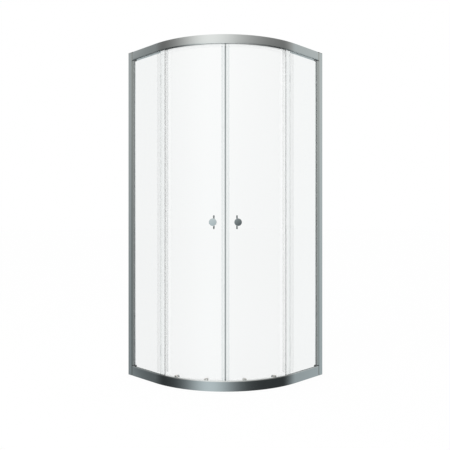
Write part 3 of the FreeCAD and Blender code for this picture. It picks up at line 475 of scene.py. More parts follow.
def build_materials():
    look = settings("screen_frame")
    glass = settings("screen_glass")
    fitting = settings("screen_fittings")
    # A moulded finish has its colour, roughness, scale and depth of grain, and mottle
    return {
        "rail": drawn_metal("rail_metal", look.metal, look.roughness, LEVEL_LINES),
        "post": drawn_metal("post_metal", look.metal, look.roughness, UPRIGHT_LINES),
        "jamb": drawn_metal("jamb_metal", look.jamb_metal, look.roughness, UPRIGHT_LINES),
        "glass": clear_glass(),
        "seal": clear_seal("clear_seal", glass.seal, glass.seal_roughness),
        "edge_seal": film_seal("edge_seal", glass.edge_seal, glass.edge_cover),
        "trail_seal": film_seal("trail_seal", glass.trail_seal, glass.trail_cover),
        "magnet": moulded("magnet_strip", glass.magnet, 0.5, 900.0, 0.05 * MM, 0.04),
        "block": moulded("block_plastic", look.blocks, 0.42, 1400.0, 0.08 * MM, 0.12),
        "gasket": moulded("gasket_rubber", look.gasket, 0.6, 1100.0, 0.06 * MM, 0.03),
        "rubber": moulded("stop_rubber", look.rubber, 0.6, 1100.0, 0.06 * MM, 0.12),
        "chrome": plated_metal("fitting_chrome", fitting.chrome, 0.05),
        "bar": plated_metal("bar_metal", fitting.bar, 0.16),
        "steel": turned_steel("bolt_steel", fitting.steel),
        "wheel": moulded("wheel_plastic", fitting.wheel, 0.34, 1600.0, 0.04 * MM, 0.08),
    }


def finish_of(name):
    """One of the screen's materials, made the first time any is asked for."""
    if not MATERIALS:
        MATERIALS.update(build_materials())
    return MATERIALS[name]


MATERIALS = {}


# Geometry Nodes trees

# A Trim Curve node has sockets of one name for shares and lengths; these are the places of its lengths
TRIM_START = 4
TRIM_END = 5


def new_tree(name, inputs):
    """Tree with named inputs; returns its nodes and a wire for each input."""
    tree = bpy.data.node_groups.new(name, "GeometryNodeTree")
    for label, kind in {"Geometry": "Geometry", **inputs}.items():
        tree.interface.new_socket(label, in_out="INPUT", socket_type="NodeSocket" + kind)
    tree.interface.new_socket("Geometry", in_out="OUTPUT", socket_type="NodeSocketGeometry")
    nodes = Nodes(tree)
    entry = tree.nodes.new("NodeGroupInput")
    wires = {socket.name: Wire(nodes, socket) for socket in entry.outputs if socket.name}
    return nodes, wires


def close_tree(nodes, geometry, finish):
    """Realize Instances and Set Material at the tree's end."""
    plain = nodes.add("GeometryNodeRealizeInstances", {"Geometry": geometry})
    painted = nodes.add("GeometryNodeSetMaterial", {"Geometry": plain, "Material": finish})
    nodes.add("NodeGroupOutput", {"Geometry": painted})
    return nodes.tree


def extrusion_tree():
    """A section swept along the screen's front, or a stretch of it, with rounded edges."""
    inputs = {"Section": "Object", "Curve Steps": "Int", "Finish": "Material"}
    inputs |= dict.fromkeys(("Curve Radius", "Start", "End", "Edge Round"), "Float")
    nodes, given = new_tree("extrusion_along_front", inputs)
    corner = nodes.add("GeometryNodeMeshToCurve", {"Mesh": given["Geometry"]})
    bend = {"Curve": corner, "Count": given["Curve Steps"], "Radius": given["Curve Radius"]}
    path = nodes.add("GeometryNodeFilletCurve", bend, mode="POLY")
    ends = {"Curve": path, TRIM_START: given["Start"], TRIM_END: given["End"]}
    stretch = nodes.add("GeometryNodeTrimCurve", ends, mode="LENGTH")
    level = nodes.add("GeometryNodeSetCurveNormal", {"Curve": stretch}, mode="Z_UP")
    outline = nodes.add("GeometryNodeObjectInfo", {"Object": given["Section"]}, "Geometry")
    section = nodes.add("GeometryNodeMeshToCurve", {"Mesh": outline})
    rounding = {"Curve": section, "Count": 3, "Radius": given["Edge Round"], "Limit Radius": True}
    softened = nodes.add("GeometryNodeFilletCurve", rounding, mode="POLY")
    sweep = {"Curve": level, "Profile Curve": softened, "Fill Caps": True}
    swept = nodes.add("GeometryNodeCurveToMesh", sweep)
    return close_tree(nodes, swept, given["Finish"])


def pane_tree():
    """A curved pane with round holes at the host's points, which lie on the flattened pane."""
    inputs = {"Columns": "Int", "Finish": "Material"}
    inputs |= dict.fromkeys(("Radius", "Thickness", "Hole Radius"), "Float")
    inputs |= dict.fromkeys(("Centre", "Middle", "Size"), "Vector")
    nodes, given = new_tree("curved_pane", inputs)
    block = {"Size": given["Size"], "Vertices X": given["Columns"], "Vertices Y": 2, "Vertices Z": 2}
    sheet = nodes.add("GeometryNodeMeshCube", block)
    placed = nodes.add("GeometryNodeTransform", {"Geometry": sheet, "Translation": given["Middle"]})
    drill = {"Vertices": 40, "Radius": given["Hole Radius"], "Depth": given["Thickness"] * 4.0}
    upright = nodes.add("GeometryNodeMeshCylinder", drill)
    level = nodes.add("GeometryNodeTransform", {"Geometry": upright, "Rotation": (QUARTER, 0.0, 0.0)})
    holes = {"Points": given["Geometry"], "Instance": level}
    drills = nodes.add("GeometryNodeInstanceOnPoints", holes)
    tools = nodes.add("GeometryNodeRealizeInstances", {"Geometry": drills})
    cut = {"Mesh 1": placed, "Mesh 2": tools}
    drilled = nodes.add("GeometryNodeMeshBoolean", cut, operation="DIFFERENCE", solver="EXACT")
    across, inwards, height = nodes.split(nodes.add("GeometryNodeInputPosition"))
    angle = across / given["Radius"] - HALF_CURVE
    reach = given["Radius"] - inwards
    place = {"X": reach * angle.maths("COSINE"), "Y": reach * angle.maths("SINE"), "Z": height}
    bent = nodes.add("ShaderNodeCombineXYZ", place)
    position = nodes.add("ShaderNodeVectorMath", {0: bent, 1: given["Centre"]}, operation="ADD")
    pane = nodes.add("GeometryNodeSetPosition", {"Geometry": drilled, "Position": position})
    return close_tree(nodes, pane, given["Finish"])


def fitting_tree():
    """Copies of a turned fitting at the host's points, each facing its point's own way."""
    nodes, given = new_tree("fittings_at_points", {"Fitting": "Object", "Finish": "Material"})
    facing = nodes.add("GeometryNodeInputNamedAttribute", {"Name": "facing"}, data_type="FLOAT_VECTOR")
    aimed = nodes.add("FunctionNodeAlignRotationToVector", {"Vector": facing}, axis="X", pivot_axis="Z")
    shape = nodes.add("GeometryNodeObjectInfo", {"Object": given["Fitting"]}, "Geometry")
    places = {"Points": given["Geometry"], "Instance": shape, "Rotation": aimed}
    copies = nodes.add("GeometryNodeInstanceOnPoints", places)
    return close_tree(nodes, copies, given["Finish"])


def tree_named(name, maker):
    """The tree, made the first time it is asked for."""
    return bpy.data.node_groups.get(name) or maker()


# Meshes and pieces


def new_object(name, points=(), edges=(), faces=()):
    mesh = bpy.data.meshes.new(name)
    mesh.from_pydata([tuple(point) for point in points], list(edges), list(faces))
    shape = bpy.data.objects.new(name, mesh)
    bpy.context.scene.collection.objects.link(shape)
    return shape


def discard(shape):
    """Removes a helper object with its mesh."""
    mesh = shape.data
    bpy.data.objects.remove(shape)
    bpy.data.meshes.remove(mesh)


def keep_result(shape, modifier):
    """Leaves what a modifier makes as the shape's plain mesh."""
    graph = bpy.context.evaluated_depsgraph_get()
    made = bpy.data.meshes.new_from_object(shape.evaluated_get(graph), depsgraph=graph)
    shape.modifiers.remove(modifier)
    before = shape.data
    shape.data = made
    bpy.data.meshes.remove(before)


def grow(host, tree, values):
    """Runs a tree on the host and leaves the result as the host's plain mesh."""
    modifier = host.modifiers.new(tree.name, "NODES")
    modifier.node_group = tree
    for item in tree.interface.items_tree:
        if item.in_out == "INPUT" and item.name in values:
            modifier[item.identifier] = values[item.name]
    keep_result(host, modifier)
    if not host.data.polygons:
        raise RuntimeError("no faces came out of " + tree.name + " for " + host.name)


@contextmanager
def reshaping(shape):
    """A shape's mesh to work on, which is written back at the end."""
    work = bmesh.new()
    work.from_mesh(shape.data)
    yield work
    work.to_mesh(shape.data)
    work.free()


def close_seams(work):
    """Joins points that coincide and turns faces outwards."""
    bmesh.ops.remove_doubles(work, verts=work.verts, dist=SEAM)
    bmesh.ops.recalc_face_normals(work, faces=work.faces)


def settle(shape, angle):
    """Closes seams and shades smooth up to an angle."""
    with reshaping(shape) as work:
        close_seams(work)
    shape.data.shade_smooth()
    shape.data.set_sharp_from_angle(angle=angle)


def hand_over(shape, body, slot, *nodes):
    """Sets a finished piece on its body in place of its CAD nodes."""
    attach(shape, body)
    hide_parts(*nodes)


def dress(node, finish):
    """Gives a CAD node that stays a finished material."""
    shape = frame["nodes"][node]
    if not shape.material_slots:
        shape.data.materials.append(None)
    for slot in shape.material_slots:
        slot.material = finish_of(finish)


def mirrored(point):
    """The same place on the left of the screen."""
    return Vector((-point[1], -point[0], point[2]))


def loop(points):
    """Edges of a closed outline."""
    count = len(points)
    return [(index, (index + 1) % count) for index in range(count)]


def extrude(name, outline, start, end, finish, edge_round):
    """An extrusion of (inset, height) points along the front between two lengths from the right wall."""
    points = [(inset, -height, 0) for inset, height in outline]
    section = new_object(name + "_section", points, loop(points))
    corner = [(HALF, HALF, 0), (HALF, -HALF, 0), (-HALF, -HALF, 0)]
    host = new_object(name, corner, [(0, 1), (1, 2)])
    values = {
        "Section": section,
        "Curve Radius": FRONT_RADIUS,
        "Curve Steps": settings("screen_frame").curve_steps,
        "Start": start,
        "End": end,
        "Edge Round": edge_round,
        "Finish": finish_of(finish),
    }
    grow(host, tree_named("extrusion_along_front", extrusion_tree), values)
    discard(section)
    settle(host, SMOOTH_FLATS)
    return host


def soften(points, radius, closed):
    """Rounds the corners of a lathe outline."""
    rounded = []
    count = len(points)
    for index, point in enumerate(points):
        here = Vector(point)
        if not closed and index in (0, count - 1):
            rounded.append(here)
            continue
        back = Vector(points[index - 1]) - here
        ahead = Vector(points[(index + 1) % count]) - here
        before = here + back.normalized() * min(radius, back.length * 0.45)
        after = here + ahead.normalized() * min(radius, ahead.length * 0.45)
        for step in (0.0, 0.25, 0.5, 0.75, 1.0):
            near = before.lerp(here, step)
            rounded.append(near.lerp(here.lerp(after, step), step))
    return rounded


def lathe(name, outline, rounding):
    """A helper shape turned about X from (distance, radius) points, open if it starts on the axis."""
    shape = new_object(name)
    closed = outline[0][1] > 0
    with reshaping(shape) as work:
        rounded = soften(outline, rounding, closed)
        points = [work.verts.new((distance, 0, radius)) for distance, radius in rounded]
        pairs = list(zip(points, points[1:]))
        if closed:
            pairs.append((points[-1], points[0]))
        edges = [work.edges.new(pair) for pair in pairs]
        turn = {"cent": (0, 0, 0), "axis": (1, 0, 0), "angle": 2 * math.pi, "steps": LATHE_STEPS}
        bmesh.ops.spin(work, geom=points + edges, use_merge=True, **turn)
        close_seams(work)
    return shape


def carve(shape, tool):
    """Cuts the tool out of a helper shape and discards the tool."""
    modifier = shape.modifiers.new("carve", "BOOLEAN")
    modifier.operation = "DIFFERENCE"
    modifier.solver = "EXACT"
    modifier.object = tool
    keep_result(shape, modifier)
    discard(tool)


def set_fittings(name, shape, places, finish):
    """Copies of a helper shape at (point, facing) places, as one finished piece."""
    host = new_object(name, [point for point, _facing in places])
    facing = host.data.attributes.new("facing", "FLOAT_VECTOR", "POINT")
    facing.data.foreach_set("vector", [part for _point, way in places for part in way])
    tree = tree_named("fittings_at_points", fitting_tree)
    grow(host, tree, {"Fitting": shape, "Finish": finish_of(finish)})
    settle(host, SMOOTH_ROUNDS)
    return host


def axis_of(node):
    """Middle of a round CAD node and the way it faces, outwards from the curve's centre."""
    low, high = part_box(node)
    middle = (low + high) / 2
    facing = Vector((middle.x - CENTRE.x, middle.y - CENTRE.y, 0)).normalized()
    return middle, facing


def wheels(side):
    """Names of one door's wheels."""
    return [f"{side}_{level}_{end}_wheel" for level in LEVELS for end in ENDS]


def roller_places(side):
    return [axis_of(wheel) for wheel in wheels(side)]


# Piece groups


def top_section():
    return [
        (0, HEIGHT),
        (0, TOP_FOOT + TOP_BEVEL_RISE),
        (BEVEL_DEPTH, TOP_FOOT),
        (BEAD_IN, TOP_FOOT),
        (BEAD_IN, TOP_FOOT + BEAD_LAND),
        (RAIL_WALL, TOP_FOOT + BEAD_DROP),
        (RAIL_WALL, TOP_POCKET),
        (POCKET_IN, TOP_POCKET),
        (POCKET_IN, TOP_FOOT),
        (LIP_IN, TOP_FOOT),
        (LIP_IN, TOP_FLOOR + LIP_RISE),
        (TROUGH_IN, TOP_FLOOR + LIP_RISE),
        (TROUGH_IN, TOP_FLOOR),
        (TROUGH_OUT, TOP_FLOOR),
        (TROUGH_OUT, HEIGHT - RAIL_WEB),
        (RAIL_IN - RAIL_WALL, HEIGHT - RAIL_WEB),
        (RAIL_IN - RAIL_WALL, TOP_FLANGE),
        (RAIL_IN, TOP_FLANGE),
        (RAIL_IN, HEIGHT),
    ]


def bottom_section():
    return [
        (0, 0),
        (0, BOTTOM_HEAD - BOTTOM_BEVEL_RISE),
        (BEVEL_DEPTH, BOTTOM_HEAD),
        (BEAD_IN, BOTTOM_HEAD),
        (BEAD_IN, BOTTOM_HEAD - BEAD_LAND),
        (RAIL_WALL, BOTTOM_HEAD - BEAD_DROP),
        (RAIL_WALL, BOTTOM_FLOOR),
        (POCKET_IN, BOTTOM_FLOOR),
        (POCKET_IN, BOTTOM_HEAD),
        (TROUGH_OUT, BOTTOM_HEAD),
        (TROUGH_OUT, BOTTOM_FLOOR),
        (TROUGH_IN, BOTTOM_FLOOR),
        (TROUGH_IN, BOTTOM_FLOOR + LIP_RISE),
        (LIP_IN, BOTTOM_FLOOR + LIP_RISE),
        (LIP_IN, SILL_OUTER),
        (RAIL_IN, SILL_INNER),
        (RAIL_IN, 0),
    ]


def strip_section(face, floor, inwards):
    """Channel with its flat face in the pocket's mouth and its legs on the pocket's floor."""
    outer = BEAD_IN + FIT
    inner = POCKET_IN - FIT
    leg = floor - inwards * FIT
    under = face + inwards * INFILL_WALL
    return [
        (outer, face),
        (inner, face),
        (inner, leg),
        (inner - INFILL_WALL, leg),
        (inner - INFILL_WALL, under),
        (outer + INFILL_WALL, under),
        (outer + INFILL_WALL, leg),
        (outer, leg),
    ]


class SCREEN_OT_rails(bpy.types.Operator):
    """Top and bottom rails with the strips that close their pockets"""

    bl_idname = "screen.rails"
    bl_label = "Rails"

    def execute(self, context):
        rounding = settings("screen_frame").edge_round
        infill_end = STRAIGHT + FRONT_RADIUS * (HALF_CURVE - INFILL_TURN)
        top_strip = strip_section(TOP_INFILL_FACE, TOP_POCKET, 1)
        bottom_strip = strip_section(BOTTOM_INFILL_FACE, BOTTOM_FLOOR, -1)
        pieces = {
            "top_rail": ("extrusion", RAIL_END, top_section()),
            "bottom_rail": ("extrusion", RAIL_END, bottom_section()),
            "top_infill_strip": ("channel", infill_end, top_strip),
            "bottom_infill_strip": ("channel", infill_end, bottom_strip),
        }
        for node, (kind, end, outline) in pieces.items():
            piece = extrude(f"{node}_{kind}", outline, end, FRONT_LENGTH - end, "rail", rounding)
            hand_over(piece, "frame", "polished_aluminium", node)
        return {"FINISHED"}


def screw_caps():
    """Domed caps over the screws that fix each jamb in its wall profile."""
    bore = 3.8 * MM
    radius = 5.0 * MM
    roof = 2.5 * MM
    shoulder = 2.9 * MM
    top = 3.7 * MM
    outline = [
        (0.0, bore),
        (0.0, radius),
        (shoulder, radius),
        (top - 0.2 * MM, radius - 1.0 * MM),
        (top, 0.0),
        (roof, 0.0),
        (roof, bore),
    ]
    cap = lathe("screw_cap", outline, 0.4 * MM)
    places = []
    for step in (-1, 0, 1):
        point = Vector((WALL_IN, HALF - CAP_RUN, HEIGHT / 2 + step * CAP_PITCH))
        facing = Vector((-1, 0, 0))
        places += [(point, facing), (mirrored(point), mirrored(facing))]
    caps = set_fittings("fixing_screw_domes", cap, places, "chrome")
    discard(cap)
    hand_over(caps, "frame", "chrome", "fixing_screw_caps")


class SCREEN_OT_wall_sides(bpy.types.Operator):
    """Wall profiles, side jambs, corner blocks, gaskets and screws"""

    bl_idname = "screen.wall_sides"
    bl_label = "Wall sides"

    def execute(self, context):
        on_each_side = {
            "wall_profile": "post",
            "side_jamb": "jamb",
            "jamb_gasket": "gasket",
            "rail_gaskets": "gasket",
            "corner_blocks": "block",
        }
        for side in SIDES:
            for part, finish in on_each_side.items():
                dress(f"{side}_{part}", finish)
        shared = {
            "wall_profile_caps": "block",
            "door_stops": "rubber",
            "corner_screws": "steel",
            "fixing_screws": "steel",
        }
        for part, finish in shared.items():
            dress(part, finish)
        screw_caps()
        return {"FINISHED"}


class SCREEN_OT_fixed_panels(bpy.types.Operator):
    """Fixed glass panels and the clear seals on their free edges"""

    bl_idname = "screen.fixed_panels"
    bl_label = "Fixed panels"

    def execute(self, context):
        glass = settings("screen_glass")
        low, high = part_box("right_fixed_glass")
        start = HALF - high.y
        end = STRAIGHT + FRONT_RADIUS * (HALF_CURVE - FIXED_TURN)
        stretches = {"right": (start, end), "left": (FRONT_LENGTH - end, FRONT_LENGTH - start)}
        outline = [(FIXED_OUT, low.z), (FIXED_IN, low.z), (FIXED_IN, high.z), (FIXED_OUT, high.z)]
        for side, (first, last) in stretches.items():
            pane = extrude(side + "_fixed_pane", outline, first, last, "glass", glass.edge_round)
            hand_over(pane, "frame", "clear_glass", side + "_fixed_glass")
            dress(side + "_fixed_edge_seal", "edge_seal")
        return {"FINISHED"}


def door_pane(side, way):
    """Curved pane, drilled for its rollers and its handle."""
    low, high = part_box(side + "_door_glass")
    axes = roller_places(side) + [axis_of(side + "_outer_knob")]
    holes = []
    for point, facing in axes:
        turn = math.atan2(facing.y, facing.x) + HALF_CURVE
        holes.append((turn * DOOR_RADIUS, DOOR_GLASS / 2, point.z))
    host = new_object(side + "_door_pane", holes)
    width = (DOOR_TRAIL - DOOR_LEAD) * DOOR_RADIUS
    across = way * (DOOR_TRAIL + DOOR_LEAD) / 2 * DOOR_RADIUS
    values = {
        "Centre": (CENTRE.x, CENTRE.y, 0.0),
        "Radius": DOOR_RADIUS,
        "Thickness": DOOR_GLASS,
        "Middle": (across, DOOR_GLASS / 2, (low.z + high.z) / 2),
        "Size": (width, DOOR_GLASS, high.z - low.z),
        "Columns": settings("screen_glass").columns,
        "Hole Radius": GLASS_HOLE,
        "Finish": finish_of("glass"),
    }
    grow(host, tree_named("curved_pane", pane_tree), values)
    settle(host, SMOOTH_FLATS)
    return host


class SCREEN_OT_doors(bpy.types.Operator):
    """Curved door glasses with their seals and magnet strips"""

    bl_idname = "screen.doors"
    bl_label = "Doors"

    def execute(self, context):
        for side, way in (("right", 1), ("left", -1)):
            pane = door_pane(side, way)
            hand_over(pane, side + "_door", "clear_glass", side + "_door_glass")
            dress(side + "_magnet_seal", "seal")
            dress(side + "_trailing_seal", "trail_seal")
            dress(side + "_magnet_strip", "magnet")
        return {"FINISHED"}


def wheel_shape(groove):
    """Tyre with a ring sunk into each face and a shallow groove in its tread."""
    ring = (8.6 * MM, 9.8 * MM)
    slope = 0.4 * MM
    chamfer = 0.8 * MM
    half_groove = 0.9 * MM
    outline = [
        (-WHEEL_FACE, WHEEL_BORE),
        (-WHEEL_FACE, ring[0] - slope),
        (-WHEEL_DISH, ring[0]),
        (-WHEEL_DISH, ring[1]),
        (-WHEEL_FACE, ring[1] + slope),
        (-WHEEL_FACE, WHEEL_RADIUS - chamfer),
        (chamfer - WHEEL_FACE, WHEEL_RADIUS),
        (-half_groove, WHEEL_RADIUS),
        (0.0, WHEEL_RADIUS - groove),
    ]
    outline += [(-distance, radius) for distance, radius in reversed(outline[:-1])]
    return lathe("wheel_shape", outline, 0.3 * MM)


def bolt_shape(fitting):
    """Round-headed bolt with a hexagon socket, through the wheel and the glass."""
    bevel_depth = 0.7 * MM
    bevel_width = 1.1 * MM
    clear = 0.6 * MM
    outline = [
        (AXLE_END, 0.0),
        (AXLE_END, AXLE_RADIUS),
        (BEARING_FACE, AXLE_RADIUS),
        (BEARING_FACE, FLANGE_RADIUS),
        (AXLE_HEAD - bevel_depth, FLANGE_RADIUS),
        (AXLE_HEAD, FLANGE_RADIUS - bevel_width),
        (AXLE_HEAD, 0.0),
    ]
    bolt = lathe("bolt_shape", outline, 0.25 * MM)
    corner = fitting.socket_width / math.sqrt(3)
    points = []
    for distance in (AXLE_HEAD - fitting.socket_depth, AXLE_HEAD + clear):
        for index in range(6):
            angle = index * math.pi / 3
            points.append((distance, corner * math.cos(angle), corner * math.sin(angle)))
    tool = new_object("socket_tool", points)
    with reshaping(tool) as work:
        bmesh.ops.convex_hull(work, input=work.verts)
    carve(bolt, tool)
    return bolt


def bearing_shape():
    """Ball bearing with inner ring, shield and outer ring."""
    shield = (3.8 * MM, 4.4 * MM)
    slope = 0.1 * MM
    outline = [
        (-BEARING_FACE, AXLE_RADIUS),
        (-BEARING_FACE, shield[0] - slope),
        (-BEARING_SHIELD, shield[0]),
        (-BEARING_SHIELD, shield[1]),
        (-BEARING_FACE, shield[1] + slope),
        (-BEARING_FACE, BEARING_RADIUS),
    ]
    outline += [(-distance, radius) for distance, radius in reversed(outline)]
    return lathe("bearing_shape", outline, 0.12 * MM)


def collar_shape():
    """Stepped spacer between the glass and the bearing."""
    outline = [
        (COLLAR_SEAT, AXLE_RADIUS),
        (COLLAR_SEAT, FLANGE_RADIUS),
        (COLLAR_FLANGE, FLANGE_RADIUS),
        (COLLAR_FLANGE, SLEEVE_RADIUS),
        (-BEARING_FACE, SLEEVE_RADIUS),
        (-BEARING_FACE, AXLE_RADIUS),
    ]
    return lathe("collar_shape", outline, 0.3 * MM)


def bush_shape():
    """Clear bush in the glass, with a flange outside and a washer inside."""
    outline = [
        (NUT_SEAT, AXLE_RADIUS),
        (NUT_SEAT, FLANGE_RADIUS),
        (BUSH_INSIDE, FLANGE_RADIUS),
        (BUSH_INSIDE, SLEEVE_RADIUS),
        (BUSH_OUTSIDE, SLEEVE_RADIUS),
        (BUSH_OUTSIDE, FLANGE_RADIUS),
        (COLLAR_SEAT, FLANGE_RADIUS),
        (COLLAR_SEAT, AXLE_RADIUS),
    ]
    return lathe("bush_shape", outline, 0.2 * MM)


def cap_nut_shape():
    """Rounded cap nut inside the glass, with a ring on its back and a groove for grip."""
    ring = 5.1 * MM
    grip = NUT_BACK + 2.3 * MM
    grip_depth = 0.4 * MM
    half_groove = 0.3 * MM
    outline = [
        (NUT_BACK, 0.0),
        (NUT_BACK, ring - half_groove),
        (NUT_BACK + half_groove, ring),
        (NUT_BACK, ring + half_groove),
        (NUT_BACK, NUT_RADIUS),
        (grip - half_groove, NUT_RADIUS),
        (grip, NUT_RADIUS - grip_depth),
        (grip + half_groove, NUT_RADIUS),
        (NUT_SEAT, NUT_RADIUS),
        (NUT_SEAT, AXLE_RADIUS),
        (AXLE_END, AXLE_RADIUS),
        (AXLE_END, 0.0),
    ]
    return lathe("cap_nut_shape", outline, 0.6 * MM)


class SCREEN_OT_rollers(bpy.types.Operator):
    """Roller wheels with their bearings, bolts, spacers and cap nuts"""

    bl_idname = "screen.rollers"
    bl_label = "Rollers"

    def execute(self, context):
        fitting = settings("screen_fittings")
        wheel = wheel_shape(fitting.wheel_groove)
        for side in SIDES:
            for node in wheels(side):
                tyre = set_fittings(node + "_turned", wheel, [axis_of(node)], "wheel")
                hand_over(tyre, node, "roller_plastic", node)
        discard(wheel)
        parts = {
            "roller_axles": (bolt_shape(fitting), "chrome", "chrome"),
            "roller_bearings": (bearing_shape(), "steel", "steel"),
            "roller_collars": (collar_shape(), "chrome", "chrome"),
            "roller_bushes": (bush_shape(), "seal", "clear_seal"),
            "roller_cap_nuts": (cap_nut_shape(), "chrome", "chrome"),
        }
        for name, (shape, finish, slot) in parts.items():
            for side in SIDES:
                piece = set_fittings(f"{side}_{name}_turned", shape, roller_places(side), finish)
                hand_over(piece, side + "_door", slot, f"{side}_{name}")
            discard(shape)
        return {"FINISHED"}


def knob_shape():
    """Flat-faced round knob; distances are from the outer face of the glass."""
    foot = (1.0 * MM, 3.0 * MM)
    foot_radius = 10.0 * MM
    neck = 7.0 * MM
    back = 17.0 * MM
    front = 30.0 * MM
    radius = 20.0 * MM
    rim = 17.5 * MM
    dome = 0.3 * MM
    sphere = (rim**2 + dome**2) / (2 * dome)
    outline = [
        (foot[0], 0.0),
        (foot[0], foot_radius),
        (foot[1], foot_radius),
        (foot[1], neck),
        (back, neck),
        (back, radius),
        (front - dome, radius),
    ]
    steps = 10
    for step in range(steps + 1):
        across = rim * (1 - step / steps)
        outline.append((front - sphere + math.sqrt(sphere**2 - across**2), across))
    return lathe("knob_shape", outline, 1.6 * MM)


def bar_shape(rounding):
    """Upright bar with rounded edges on a short stem; distances are as on the knob."""
    face = -6.1 * MM
    back = face - 12.0 * MM
    width = 8.0 * MM
    height = 73.0 * MM
    stem_radius = 6.0 * MM
    flare = 0.6 * MM
    middle = back + width / 2
    outline = [
        (middle, 0.0),
        (middle, stem_radius),
        (face - flare, stem_radius),
        (face, stem_radius + flare),
        (face, 0.0),
    ]
    stem = lathe("bar_shape", outline, 0.5 * MM)
    with reshaping(stem) as work:
        sides = bmesh.ops.create_cube(work, size=1.0)["verts"]
        bmesh.ops.scale(work, vec=(width, width, height), verts=sides)
        bmesh.ops.translate(work, vec=(middle, 0, 0), verts=sides)
        edges = list({edge for point in sides for edge in point.link_edges})
        bmesh.ops.bevel(work, geom=edges, offset=rounding, segments=5, profile=0.5, affect="EDGES")
    return stem


class SCREEN_OT_handles(bpy.types.Operator):
    """Knobs outside and upright bars inside"""

    bl_idname = "screen.handles"
    bl_label = "Handles"

    def execute(self, context):
        knob = knob_shape()
        bar = bar_shape(settings("screen_fittings").bar_round)
        for side in SIDES:
            middle, facing = axis_of(side + "_outer_knob")
            foot = Vector((CENTRE.x, CENTRE.y, middle.z)) + facing * DOOR_RADIUS
            place = [(foot, facing)]
            turned = set_fittings(side + "_knob_turned", knob, place, "chrome")
            hand_over(turned, side + "_door", "chrome", side + "_outer_knob")
            grip = set_fittings(side + "_inner_bar", bar, place, "bar")
            hand_over(grip, side + "_door", "chrome", side + "_inner_handle")
            dress(side + "_handle_bolt", "steel")
            dress(side + "_handle_washers", "seal")
        discard(knob)
        discard(bar)
        return {"FINISHED"}


def add_camera(context, studio):
    lens = bpy.data.cameras.new("camera")
    lens.lens = studio.lens
    lens.shift_x = studio.shift_x
    lens.shift_y = studio.shift_y
    camera = bpy.data.objects.new("camera", lens)
    along = studio.distance * math.sqrt(0.5)
    camera.location = (along, -along, studio.eye)
    camera.rotation_euler = (QUARTER, 0, HALF_CURVE)
    context.scene.collection.objects.link(camera)
    context.scene.camera = camera


def seen_rays(nodes):
    """1 for rays from the camera, mirrored rays and rays through glass."""
    kinds = ("Is Camera Ray", "Is Glossy Ray", "Is Transmission Ray")
    camera, glossy, through = [nodes.add("ShaderNodeLightPath", output=kind) for kind in kinds]
    return camera.maths("MAXIMUM", glossy).maths("MAXIMUM", through)


def add_world(context, studio):
    world = bpy.data.worlds.new("studio")
    world.use_nodes = True
    world.node_tree.nodes.clear()
    nodes = Nodes(world.node_tree)
    strength = seen_rays(nodes).blend(studio.ambient, 1.0)
    light = nodes.add("ShaderNodeBackground", {"Color": WHITE, "Strength": strength})
    nodes.add("ShaderNodeOutputWorld", {"Surface": light})
    context.scene.world = world


def add_key_light(context, studio):
    lamp = bpy.data.lights.new("key", "AREA")
    lamp.shape = "RECTANGLE"
    lamp.size = 3.0
    lamp.size_y = 2.0
    lamp.energy = studio.key
    key = bpy.data.objects.new("key", lamp)
    key.location = (0.4, -3.4, 3.4)
    aim = Vector((0, 0, HEIGHT / 2)) - key.location
    key.rotation_euler = aim.to_track_quat("-Z", "Y").to_euler()
    key.visible_glossy = False
    key.visible_transmission = False
    context.scene.collection.objects.link(key)


def add_floor(studio):
    material, nodes = new_material("floor_paint")
    mottle = noise(nodes, 2.0, 3.0)
    tone = nodes.varied(mottle, studio.floor, 0.99, 1.01)
    paint = nodes.add("ShaderNodeBsdfDiffuse", {"Color": tone})
    white = nodes.add("ShaderNodeEmission", {"Color": WHITE, "Strength": 1.0})
    shaders = {0: seen_rays(nodes) * studio.floor_white, 1: paint, 2: white}
    mixed = nodes.add("ShaderNodeMixShader", shaders)
    nodes.add("ShaderNodeOutputMaterial", {"Surface": mixed})
    material.cycles.emission_sampling = "NONE"
    reach = 60.0
    under = -0.5 * MM
    corners = ((-reach, -reach), (reach, -reach), (reach, reach), (-reach, reach))
    floor = new_object("floor", [(x, y, under) for x, y in corners], faces=[(0, 1, 2, 3)])
    floor.data.materials.append(material)
    floor.visible_glossy = False


